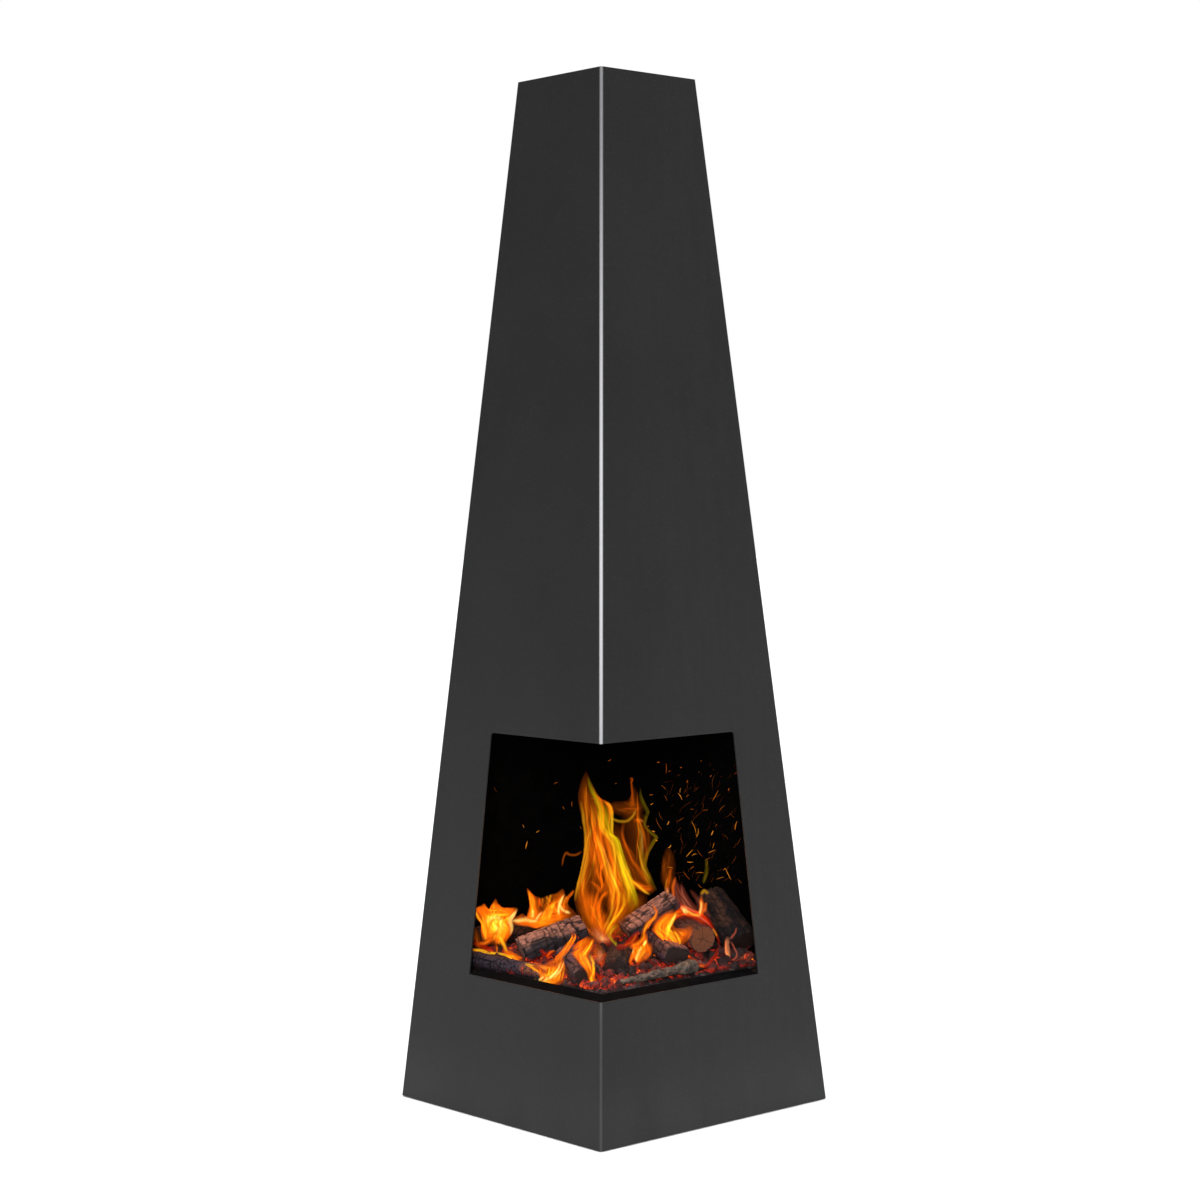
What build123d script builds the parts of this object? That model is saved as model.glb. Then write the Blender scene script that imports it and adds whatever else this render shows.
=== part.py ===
from build123d import *
import math
import os

# Garden fireplace (chiminea): a tall, square, tapering steel chimney that
# stands with one corner to the front.  A fire opening wraps that corner.
# Millimetres.  +Z up, front corner fold towards -Y, origin on the ground at
# the centre of the square base.

# ---------------------------------------------------------------- dimensions
H = 1100.0            # overall height
RB = 232.6            # plan circumradius at z = 0 (centre to corner fold)
RT = 96.2             # plan circumradius at z = H
SHEET = 2.0           # body sheet thickness
BEND_OUT = 3.0        # outside radius of the pressed corner folds
BEND_IN = 1.0         # inside radius of the corner folds
SHELL_Z0 = 1.0        # lower edge of the body sheets above the ground

OPEN_ZB = 147.1       # fire opening, lower edge
OPEN_ZT = 404.6       # fire opening, upper edge
OPEN_LB = 0.6958      # share of the left face that is open, at the lower edge
OPEN_LT = 0.6834      # the same at the upper edge
OPEN_RB = 0.7402      # right face, lower edge
OPEN_RT = 0.7334      # right face, upper edge
OPEN_R = 4.0          # radius of the upper outer corners of the opening
SILL_W = 16.5         # width of the in-turned sill lip
SILL_RISE = 15.0      # degrees the sill lip rises inwards
SILL_LEG = 16.0       # leg of the sill strip behind the sheet

FLANGE_Y = 17.0       # reach of the seam strips behind the side folds
STRIP_FRONT = 12.0    # and in front of them
SEAM_Z = (62.0, 300.0, 540.0, 780.0, 1035.0)   # seam screw heights
SEAM_Y = 9.6          # y of the seam screws
SCREW_R = 2.5         # M5 shank
SCREW_HOLE_R = 2.75
HEAD_R, HEAD_H = 4.75, 2.75
NUT_AF5, NUT_H5 = 8.0, 4.0

COLLAR_H, COLLAR_T = 22.0, 3.0      # stiffening collar inside the chimney top
COLLAR_DROP = 2.0

BASE_Z, BASE_T, BASE_LEG, BASE_H = 8.0, 3.0, 26.0, 24.0   # inner base angle
GUSSET_Y = 166.0      # gussets fill the base corners beyond this distance
ANCHOR_PCD, ANCHOR_R = 298.0, 4.5   # ground anchor holes
BASE_SCREW_Z = 22.0
BASE_SCREW_U = 90.0

FOOT_RAD = 190.0      # levelling feet, distance from the axis
PAD_R, PAD_H = 15.0, 6.0
STUD_R, STUD_TOP = 5.0, 46.0        # M10 stud
STUD_CLEAR = 0.08
FOOT_NUT_AF, FOOT_NUT_H = 17.0, 8.0

HEARTH_Z, HEARTH_T = 108.0, 3.0     # fire floor
BRACKET_LEN, BRACKET_LEG, BRACKET_T, BRACKET_H = 120.0, 26.0, 3.0, 24.0
HEARTH_SCREW_IN = 13.0
M6_R, M6_HOLE_R, M6_HEAD_R, M6_HEAD_H, M6_AF, M6_NUT_H = 3.0, 3.3, 5.25, 3.3, 10.0, 5.0
DRAIN_R = 4.0

TRAY_Z, TRAY_T, TRAY_R, TRAY_TOP = 111.3, 1.5, 172.0, 141.0
TRAY_RIM = 8.5

GRATE_R, GRATE_BAR, GRATE_Z = 167.0, 8.0, 138.0    # frame outer circumradius
GRATE_PITCH = 21.0
LEG_R = 4.0

BED = ((175.0, 146.3), (169.0, 154.0), (110.0, 168.0))   # ember mound: circumradius, height
# firewood: name, end a, end b, cross-section, size across, thickness, end b scale, turn about its length
FIREWOOD = (
    ("log_split_left", (-94, -65, 172.6), (-28, -42, 195.5), "split", 33, 20, 0.94, -27),
    ("log_split_right", (17, -60, 193), (69, -36, 224), "split", 28, 18, 1.0, -20),
    ("stick_front_left", (-153, -19, 155.6), (-60, -108, 155.6), "round", 18, 18, 0.95, 0),
    ("log_charred_left", (-42, -86, 174), (-18, -146, 161), "split", 29, 21, 1.05, -12),
    ("log_charred_right", (42, -30, 185), (73, -86, 171), "split", 30, 22, 1.05, 12),
    ("branch_ash_grey", (14, -152, 155.2), (92, -82, 160), "round", 16, 16, 1.1, 0),
    ("log_centre", (11, -66, 169), (10, -126, 163), "round", 29, 29, 1.0, 0),
    ("log_round_right", (100, -62, 185), (72, -8, 189), "round", 33, 33, 0.97, 0),
    ("log_leaning_right", (105, 51, 212), (141, 7, 168), "round", 41, 37, 1.05, 0),
    ("log_rear_left", (-148, 8, 172), (-66, 52, 184), "round", 30, 30, 0.95, 0),
)

# ------------------------------------------------------------------ geometry
S2 = math.sqrt(2.0)
ALPHA = math.atan((RB - RT) / S2 / H)      # lean of each face from the vertical
LEAN = (RB - RT) / H                       # loss of circumradius per mm of height


def rad(z, off=0.0):
    """Circumradius at height z of the surface lying `off` inside the outer faces."""
    return RB - LEAN * z - off * S2 / math.cos(ALPHA)


def poly_solid(pts, faces):
    shell = Shell([Face(Wire.make_polygon([Vector(*pts[i]) for i in f], close=True)) for f in faces])
    return Solid(shell)


def frustum(off, z0, z1):
    """Square frustum, corners on the axes, `off` inside the outer faces."""
    a, b = rad(z0, off), rad(z1, off)
    p = [(0, -a, z0), (a, 0, z0), (0, a, z0), (-a, 0, z0),
         (0, -b, z1), (b, 0, z1), (0, b, z1), (-b, 0, z1)]
    f = [(3, 2, 1, 0), (4, 5, 6, 7), (0, 1, 5, 4), (1, 2, 6, 5), (2, 3, 7, 6), (3, 0, 4, 7)]
    return poly_solid(p, f)


def diamond(r0, z0, r1, z1):
    p = [(0, -r0, z0), (r0, 0, z0), (0, r0, z0), (-r0, 0, z0),
         (0, -r1, z1), (r1, 0, z1), (0, r1, z1), (-r1, 0, z1)]
    f = [(3, 2, 1, 0), (4, 5, 6, 7), (0, 1, 5, 4), (1, 2, 6, 5), (2, 3, 7, 6), (3, 0, 4, 7)]
    return poly_solid(p, f)


def slab(x0, x1, y0, y1, z0, z1):
    return Pos((x0 + x1) / 2, (y0 + y1) / 2, (z0 + z1) / 2) * Box(x1 - x0, y1 - y0, z1 - z0)


def upright_edges(s):
    """The four long corner edges of a frustum."""
    out = []
    for e in s.edges():
        d = (e @ 1) - (e @ 0)
        if abs(d.Z) > 0.8 * e.length:
            out.append(e)
    return out


def clean(s):
    """One plain solid, or a compound of plain solids."""
    sol = s.solids()
    return sol[0] if len(sol) == 1 else Compound(children=list(sol))


def face_frame(side):
    """Unit vectors of a body face: along it (away from its front or rear fold),
    outward normal (horizontal part) and true outward normal."""
    sx, sy = side
    along = Vector(sx, -sy, 0) / S2          # from the fold on the Y axis to the side fold
    out_h = Vector(sx, sy, 0) / S2
    n = out_h * math.cos(ALPHA) + Vector(0, 0, 1) * math.sin(ALPHA)
    return along, out_h, n


FL, FR, RL, RR = (-1, -1), (1, -1), (-1, 1), (1, 1)


def on_face(side, u, z, off=0.0):
    """Point at distance u from the Y-axis fold, height z, `off` inside the outer face."""
    along, out_h, n = face_frame(side)
    r = rad(z)
    return Vector(0, side[1] * r, z) + along * u - n * off


def bar_between(a, b, r):
    d = b - a
    pl = Plane(origin=a, z_dir=d.normalized())
    return extrude(pl * Circle(r), d.length)


def prism(points, direction, length):
    """Closed planar polygon pushed along a direction."""
    f = Face(Wire.make_polygon([Vector(*p) if not isinstance(p, Vector) else p for p in points], close=True))
    return Solid.extrude(f, direction.normalized() * length)


def button_screw(at, n, shank, head_r, head_h, shank_r):
    """Button-head screw: `at` is the seat of the head, n points out of the head."""
    pl = Plane(origin=at, z_dir=n)
    head = extrude(pl * Circle(head_r), head_h)
    top = head.faces().sort_by(lambda f: (f.center() - at).dot(n))[-1]
    head = fillet(top.edges(), head_h * 0.72)
    socket = extrude(Plane(origin=at + n * (head_h * 0.35), z_dir=n) * RegularPolygon(shank_r * 0.62, 6), head_h)
    body = extrude(pl * Circle(shank_r), -shank)
    return (head - socket) + body


def hex_nut(at, n, af, height, bore_r):
    """Nut seated at `at`, standing along n."""
    pl = Plane(origin=at, z_dir=n)
    nut = extrude(pl * RegularPolygon(af / 2, 6, major_radius=False), height)
    return nut - extrude(Plane(origin=at - n, z_dir=n) * Circle(bore_r), height + 2)


def hole(at, n, r, depth=12.0):
    return extrude(Plane(origin=at - n * depth / 2, z_dir=n) * Circle(r), depth)


# -------------------------------------------------------------- body sheets
outer = frustum(0.0, SHELL_Z0, H)
outer = fillet(upright_edges(outer), BEND_OUT)
inner = frustum(SHEET, SHELL_Z0 - 20, H + 20)
inner = fillet(upright_edges(inner), BEND_IN)
tube = outer - inner

SPLIT = 2.15
front = tube & slab(-300, 300, -300, SPLIT, -50, H + 50)
rear_shell = tube & slab(-300, 300, SPLIT + 0.25, 300, -50, H + 50)

# side seam strips: angle strips welded inside the side folds; their rear leg
# sits behind the rear sheet and takes the seam screws
strip_tube = frustum(SHEET + 0.02, SHELL_Z0, H - 26) - frustum(2 * SHEET, SHELL_Z0 - 20, H + 20)
seam_strips = {}
for tag, x0, x1 in (("left", -300, -30), ("right", 30, 300)):
    st = strip_tube & slab(x0, x1, -STRIP_FRONT, FLANGE_Y, SHELL_Z0 + 1, H - 26)
    seam_strips[tag] = st - front


def halves(side):
    """The half space of one front face, up to the mitre on the front fold."""
    return slab(-300, 0, -300, 20, 0, 600) if side[0] < 0 else slab(0, 300, -300, 20, 0, 600)


def opening_cut(side, sb, st):
    along, out_h, n = face_frame(side)
    ub, ut = sb * S2 * rad(OPEN_ZB), st * S2 * rad(OPEN_ZT)
    pts = [on_face(side, -6, OPEN_ZB, -6), on_face(side, ub, OPEN_ZB, -6),
           on_face(side, ut, OPEN_ZT, -6), on_face(side, -6, OPEN_ZT, -6)]
    cut = prism(pts, n * -1, 30)
    top_corner = on_face(side, ut, OPEN_ZT)
    edge = min(cut.edges(), key=lambda e: ((e @ 0.3) - top_corner).cross(n).length if e.length < 31 else 1e9)
    return fillet(edge, OPEN_R) & halves(side)




front = front - opening_cut(FL, OPEN_LB, OPEN_LT) - opening_cut(FR, OPEN_RB, OPEN_RT)


def sill_strip(side, sb):
    """Angle strip behind the lower edge; its lip turns in and rises inwards."""
    along, out_h, n = face_frame(side)
    ub = sb * S2 * rad(OPEN_ZB)
    a = math.radians(SILL_RISE)
    base = on_face(side, 0, OPEN_ZB) - along * 30
    ins, up = out_h * -1, Vector(0, 0, 1)
    ta, ca = math.tan(ALPHA), math.cos(ALPHA)
    d0 = (SHEET + 0.02) / ca

    def at(d, h):
        return base + ins * d + up * h
    prof = [at(d0, 0.0),
            at(SILL_W * math.cos(a), SILL_W * math.sin(a)),
            at(SILL_W * math.cos(a) + SHEET * math.sin(a), SILL_W * math.sin(a) - SHEET * math.cos(a)),
            at(d0 + SHEET + 0.3, -1.9),
            at(d0 + SHEET / ca - SILL_LEG * ta, -SILL_LEG),
            at(d0 - SILL_LEG * ta, -SILL_LEG)]
    lip = prism(prof, along, ub + 30 - 0.7)
    return (lip & halves(side)) - front


surround = {}
for side, tag, sb, st in ((FL, "left", OPEN_LB, OPEN_LT), (FR, "right", OPEN_RB, OPEN_RT)):
    surround["sill_strip_" + tag] = sill_strip(side, sb)

# seam and base screws: only through the rear sheet, into flange or base angle
seam = {}
for side, tag in ((RL, "left"), (RR, "right")):
    along, out_h, n = face_frame(side)
    screws, nuts = [], []
    for z in SEAM_Z:
        u = S2 * (rad(z) - SEAM_Y)            # distance from the rear fold
        p = on_face(side, u, z)
        seam_strips[tag] = seam_strips[tag] - hole(p, n, SCREW_HOLE_R)
        rear_shell = rear_shell - hole(p, n, SCREW_HOLE_R)
        screws.append(button_screw(p, n, 12.0, HEAD_R, HEAD_H, SCREW_R))
        nuts.append(hex_nut(p - n * (2 * SHEET), n * -1, NUT_AF5, NUT_H5, SCREW_R + 0.02))
    seam[tag] = (screws, nuts)

# ------------------------------------------------------------- top collar
zc1, zc0 = H - COLLAR_DROP, H - COLLAR_DROP - COLLAR_H
top_collar = frustum(SHEET + 0.02, zc0, zc1) - frustum(SHEET + COLLAR_T, zc0 - 5, zc1 + 5)
top_collar = top_collar - slab(-300, rad(zc0, SHEET) * -1 + 3.2, -300, 300, 0, 2000) - slab(rad(zc0, SHEET) - 3.2, 300, -300, 300, 0, 2000)
top_collar = top_collar - slab(-300, 300, -300, -rad(zc0, SHEET) + 3.2, 0, 2000) - slab(-300, 300, rad(zc0, SHEET) - 3.2, 300, 0, 2000)

# ------------------------------------------------------------- base angle
zb0, zb1 = BASE_Z, BASE_Z + BASE_H
leg_up = frustum(2 * SHEET + 0.02, zb0, zb1) - frustum(2 * SHEET + BASE_T, zb0 - 5, zb1 + 5)
plate = frustum(2 * SHEET + 0.02, zb0, zb0 + BASE_T)
r_in = rad(zb0, 2 * SHEET + BASE_LEG)
hole_in = diamond(r_in, zb0 - 2, r_in, zb1)
hole_in = hole_in & slab(-GUSSET_Y, GUSSET_Y, -GUSSET_Y, GUSSET_Y, -10, 60)
base_frame = leg_up + (plate - hole_in)
for sx, sy in (FL, FR, RL, RR):
    p = Vector(sx, sy, 0) / S2 * (ANCHOR_PCD / 2) + Vector(0, 0, zb0)
    base_frame = base_frame - hole(p, Vector(0, 0, 1), ANCHOR_R, 20)
feet_at = {"front": (0, -FOOT_RAD), "right": (FOOT_RAD, 0), "rear": (0, FOOT_RAD), "left": (-FOOT_RAD, 0)}
for x, y in feet_at.values():
    base_frame = base_frame - hole(Vector(x, y, zb0), Vector(0, 0, 1), STUD_R + STUD_CLEAR, 20)

# distance strips between body sheet and base angle (front and rear faces)
pad_tube = frustum(SHEET, zb0, zb1) - frustum(2 * SHEET, zb0 - 5, zb1 + 5)
base_shims = []
base_screws, base_nuts = [], []
for side in (FL, FR, RL, RR):
    along, out_h, n = face_frame(side)
    for u in (BASE_SCREW_U, S2 * rad(BASE_SCREW_Z) - BASE_SCREW_U):
        c = on_face(side, u, BASE_SCREW_Z, 3.0)
        blk = Plane(origin=c, x_dir=along, z_dir=n) * Box(24, 60, 12)
        shim = pad_tube & blk
        if side[1] > 0:
            p = on_face(side, u, BASE_SCREW_Z)
            for h in (hole(p, n, SCREW_HOLE_R, 24),):
                rear_shell = rear_shell - h
                base_frame = base_frame - h
                shim = shim - h
            base_screws.append(button_screw(p, n, 15.0, HEAD_R, HEAD_H, SCREW_R))
            base_nuts.append(hex_nut(p - n * (2 * SHEET + BASE_T), n * -1, NUT_AF5, NUT_H5, SCREW_R + 0.02))
        base_shims += list(shim.solids())

# ------------------------------------------------------------- levelling feet
feet = {}
foot_nuts = []
for name, (x, y) in feet_at.items():
    pad = Pos(x, y, PAD_H / 2) * Cylinder(PAD_R, PAD_H)
    pad = chamfer(pad.edges().group_by(Axis.Z)[-1], 1.5)
    pad = pad - Pos(x, y, PAD_H - 1) * Cylinder(STUD_R + 2.0, 2.0)
    pl = Plane(origin=(x, y, PAD_H - 2), z_dir=(0, 0, 1))
    stud = extrude(pl * Circle(STUD_R + 1.97), 2.0) + extrude(pl * Circle(STUD_R), STUD_TOP - PAD_H + 2)
    stud = chamfer(stud.edges().group_by(Axis.Z)[-1], 0.8)
    # screwdriver slot in the top end
    stud = stud - Pos(x, y, STUD_TOP) * Box(1.6, 12, 4.0)
    feet[name] = (pad, stud)
    foot_nuts.append(hex_nut(Vector(x, y, zb0 + BASE_T), Vector(0, 0, 1), FOOT_NUT_AF, FOOT_NUT_H, STUD_R + STUD_CLEAR))

# ------------------------------------------------------------- fire floor
rh = rad(HEARTH_Z + HEARTH_T, SHEET) - 4.5
hearth_plate = diamond(rh, HEARTH_Z, rh, HEARTH_Z + HEARTH_T)
hearth_plate = hearth_plate - slab(-300, -rh + 6, -300, 300, 0, 300) - slab(rh - 6, 300, -300, 300, 0, 300)
# the side corners are cropped so the plate passes the seam flanges
hearth_plate = hearth_plate - slab(-300, -rh + 20, -300, 300, 0, 300) - slab(rh - 20, 300, -300, 300, 0, 300)
brackets = {}
hearth_screws, hearth_nuts = [], []
bz1 = HEARTH_Z
bz0 = HEARTH_Z - BRACKET_H
bt = frustum(SHEET, bz0, bz1) - frustum(SHEET + BRACKET_T, bz0 - 5, bz1 + 5)
bp = frustum(SHEET, bz1 - BRACKET_T, bz1) - frustum(SHEET + BRACKET_LEG, bz1 - 30, bz1 + 5)
bsolid = bt + bp
for side, tag in ((FL, "front_left"), (FR, "front_right"), (RL, "rear_left"), (RR, "rear_right")):
    along, out_h, n = face_frame(side)
    mid = S2 * rad(bz1) / 2
    c = on_face(side, mid, (bz0 + bz1) / 2, 10)
    blk = Plane(origin=c, x_dir=along, z_dir=Vector(0, 0, 1)) * Box(BRACKET_LEN, 80, 60)
    b = bsolid & blk
    ap = rad(bz1, SHEET) / S2 - HEARTH_SCREW_IN
    p = out_h * ap + Vector(0, 0, HEARTH_Z + HEARTH_T)
    h = hole(p, Vector(0, 0, 1), M6_HOLE_R, 24)
    b = b - h
    hearth_plate = hearth_plate - h
    brackets[tag] = b
    hearth_screws.append(button_screw(p, Vector(0, 0, 1), 16.0, M6_HEAD_R, M6_HEAD_H, M6_R))
    hearth_nuts.append(hex_nut(p - Vector(0, 0, HEARTH_T + BRACKET_T), Vector(0, 0, -1), M6_AF, M6_NUT_H, M6_R + 0.02))
for x, y in ((0, -190), (0, 190)):
    hearth_plate = hearth_plate - hole(Vector(x, y, HEARTH_Z), Vector(0, 0, 1), DRAIN_R, 20)

# ------------------------------------------------------------- ash tray
tray = diamond(TRAY_R, TRAY_Z, TRAY_R, TRAY_TOP)
ti = TRAY_R - TRAY_T * S2
tray = tray - diamond(ti, TRAY_Z + TRAY_T, ti, TRAY_TOP + 5)
rim = diamond(TRAY_R + TRAY_RIM, TRAY_TOP - TRAY_T, TRAY_R + TRAY_RIM, TRAY_TOP) - diamond(ti, TRAY_TOP - 5, ti, TRAY_TOP + 5)
ash_tray = tray + rim

# ------------------------------------------------------------- fire grate
gi = GRATE_R - GRATE_BAR * S2
gz0, gz1 = GRATE_Z, GRATE_Z + GRATE_BAR
grate_frame = diamond(GRATE_R, gz0, GRATE_R, gz1) - diamond(gi, gz0 - 2, gi, gz1 + 2)
half = gi / S2                       # half of the inner side
bars = []
k = int((half - GRATE_BAR) // GRATE_PITCH)
axis_u = Vector(1, 1, 0) / S2        # bars run along this direction
axis_v = Vector(-1, 1, 0) / S2
for i in range(-k, k + 1):
    c = axis_v * (i * GRATE_PITCH)
    b = Plane(origin=c + Vector(0, 0, gz0 + GRATE_BAR / 2), x_dir=axis_u, z_dir=(0, 0, 1)) * Box(2 * half, GRATE_BAR, GRATE_BAR)
    bars.append(b)
legs = []
for x, y in ((0, -1), (1, 0), (0, 1), (-1, 0)):
    r = GRATE_R - 9.0
    z0 = TRAY_Z + TRAY_T + 0.3
    legs.append(Pos(x * r, y * r, (z0 + gz0) / 2) * Cylinder(LEG_R, gz0 - z0))

# ------------------------------------------------------------- fuel
SECTIONS = {
    "round": [(math.cos(math.radians(36 * i)) / 2, math.sin(math.radians(36 * i)) / 2) for i in range(10)],
    "split": [(-0.5, -0.32), (-0.30, -0.5), (0.34, -0.5), (0.5, -0.22), (0.47, 0.36), (0.30, 0.5), (-0.36, 0.46), (-0.5, 0.28)],
}


def log_solid(a, b, section, across, thick, end_scale, turn, grow=0.0):
    a, b = Vector(*a), Vector(*b)
    d = (b - a).normalized()
    side = d.cross(Vector(0, 0, 1)).normalized()
    top = side.cross(d).normalized()
    t = math.radians(turn)
    sv, tv = side * math.cos(t) + top * math.sin(t), top * math.cos(t) - side * math.sin(t)
    a, b = a - d * grow, b + d * grow
    w, h = across + 2 * grow, thick + 2 * grow
    poly = SECTIONS[section]
    n = len(poly)
    pts = [a + sv * (x * w) + tv * (y * h) for x, y in poly] + \
          [b + sv * (x * w * end_scale) + tv * (y * h * end_scale) for x, y in poly]
    fs = [tuple(range(n))[::-1], tuple(range(n, 2 * n))] + [(i, (i + 1) % n, n + (i + 1) % n, n + i) for i in range(n)]
    return poly_solid([(p.X, p.Y, p.Z) for p in pts], fs)


ember_bed = None
for (r0, z0), (r1, z1) in zip(BED, BED[1:]):
    f = diamond(r0, z0, r1, z1)
    ember_bed = f if ember_bed is None else ember_bed + f
wood = {}
for name, a, b, section, across, thick, es, turn in FIREWOOD:
    wood[name] = log_solid(a, b, section, across, thick, es, turn)
    ember_bed = ember_bed - log_solid(a, b, section, across, thick, es, turn, 0.4)
ember_bed = max(ember_bed.solids(), key=lambda q: q.volume)

parts = {
    "front_shell": front,
    "rear_shell": rear_shell,
    "seam_strip_left": seam_strips["left"],
    "seam_strip_right": seam_strips["right"],
    "top_collar": top_collar,
    "seam_screws_left": Compound(children=[clean(s) for s in seam["left"][0]]),
    "seam_screws_right": Compound(children=[clean(s) for s in seam["right"][0]]),
    "seam_nuts_left": Compound(children=[clean(s) for s in seam["left"][1]]),
    "seam_nuts_right": Compound(children=[clean(s) for s in seam["right"][1]]),
    "base_frame": base_frame,
    "base_spacers": Compound(children=base_shims),
    "base_screws": Compound(children=[clean(s) for s in base_screws]),
    "base_nuts": Compound(children=[clean(s) for s in base_nuts]),
    "foot_nuts": Compound(children=[clean(s) for s in foot_nuts]),
    "hearth_plate": hearth_plate,
    "hearth_screws": Compound(children=[clean(s) for s in hearth_screws]),
    "hearth_nuts": Compound(children=[clean(s) for s in hearth_nuts]),
    "ash_tray": ash_tray,
    "grate_frame": grate_frame,
    "grate_bars": Compound(children=[clean(s) for s in bars]),
    "grate_legs": Compound(children=[clean(s) for s in legs]),
}
parts.update(surround)
parts.update(wood)
parts["ember_bed"] = ember_bed
for tag, b in brackets.items():
    parts["hearth_bracket_" + tag] = b
for tag, (pad, stud) in feet.items():
    parts["foot_pad_" + tag] = pad
    parts["foot_stud_" + tag] = stud

os.makedirs("parts", exist_ok=True)
for name, shape in parts.items():
    s = clean(shape)
    export_step(s, "parts/" + name + ".step")
    print(name, len(s.solids()), round(s.volume, 1))
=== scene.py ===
"""Looks of the chiminea: black powder-coated shell with a painted highlight along the front fold, sooted inside and
darkened to near black as painted shade, fuel, embers, flames and sparks.
"""
import math

import bmesh
import bpy
import numpy as np
from mathutils import Matrix, Vector


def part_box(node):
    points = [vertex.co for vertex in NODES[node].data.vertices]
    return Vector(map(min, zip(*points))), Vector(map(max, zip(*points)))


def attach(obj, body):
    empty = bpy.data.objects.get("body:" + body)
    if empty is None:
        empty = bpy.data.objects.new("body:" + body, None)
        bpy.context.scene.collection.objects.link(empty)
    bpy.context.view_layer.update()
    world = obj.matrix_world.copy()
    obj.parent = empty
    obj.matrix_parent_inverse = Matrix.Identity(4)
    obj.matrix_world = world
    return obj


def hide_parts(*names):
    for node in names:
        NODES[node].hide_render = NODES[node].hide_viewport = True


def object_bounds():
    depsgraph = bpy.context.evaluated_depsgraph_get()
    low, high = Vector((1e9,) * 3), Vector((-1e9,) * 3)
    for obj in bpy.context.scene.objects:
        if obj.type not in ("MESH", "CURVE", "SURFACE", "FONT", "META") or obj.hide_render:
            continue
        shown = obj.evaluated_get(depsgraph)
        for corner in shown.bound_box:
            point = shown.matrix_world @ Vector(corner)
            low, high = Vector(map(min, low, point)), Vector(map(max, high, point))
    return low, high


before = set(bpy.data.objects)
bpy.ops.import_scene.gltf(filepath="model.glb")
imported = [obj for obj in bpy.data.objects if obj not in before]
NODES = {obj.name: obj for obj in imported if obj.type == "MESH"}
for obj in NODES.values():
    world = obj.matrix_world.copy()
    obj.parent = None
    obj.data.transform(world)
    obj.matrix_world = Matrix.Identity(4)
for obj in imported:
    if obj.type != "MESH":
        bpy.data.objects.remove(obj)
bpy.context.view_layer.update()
LO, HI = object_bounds()
HEIGHT = HI[2] - LO[2]

# ---------------------------------------------------------------- light levels
WORLD_BASE, WORLD_SIDE, WORLD_FLAG, WORLD_RIGHT, WORLD_TOP = 0.50, -0.27, -0.10, 0.13, 1.75
FRONT_AT, FRONT_SIZE, FRONT_POWER = (0.0, -4.2, 1.60), (0.8, 1.4), 185.0
GLOW_POWER = 0.18

# ---------------------------------------------------------------- camera
cam_data = bpy.data.cameras.new("camera")
cam_data.lens = 75.9714
cam_data.sensor_width = 36.0
cam_data.clip_start, cam_data.clip_end = 0.05, 60.0
cam_data.dof.use_dof = False
cam = bpy.data.objects.new("camera", cam_data)
bpy.context.scene.collection.objects.link(cam)
cam.matrix_world = Matrix((
    (0.99830501, 0.00423718, 0.05804443, 0.1484598850518038),
    (0.0578146, 0.04222009, -0.99743418, -2.7329009356781317),
    (-0.00667695, 0.99909935, 0.04190355, 0.6578),
    (0, 0, 0, 1)))
bpy.context.scene.camera = cam


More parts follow.
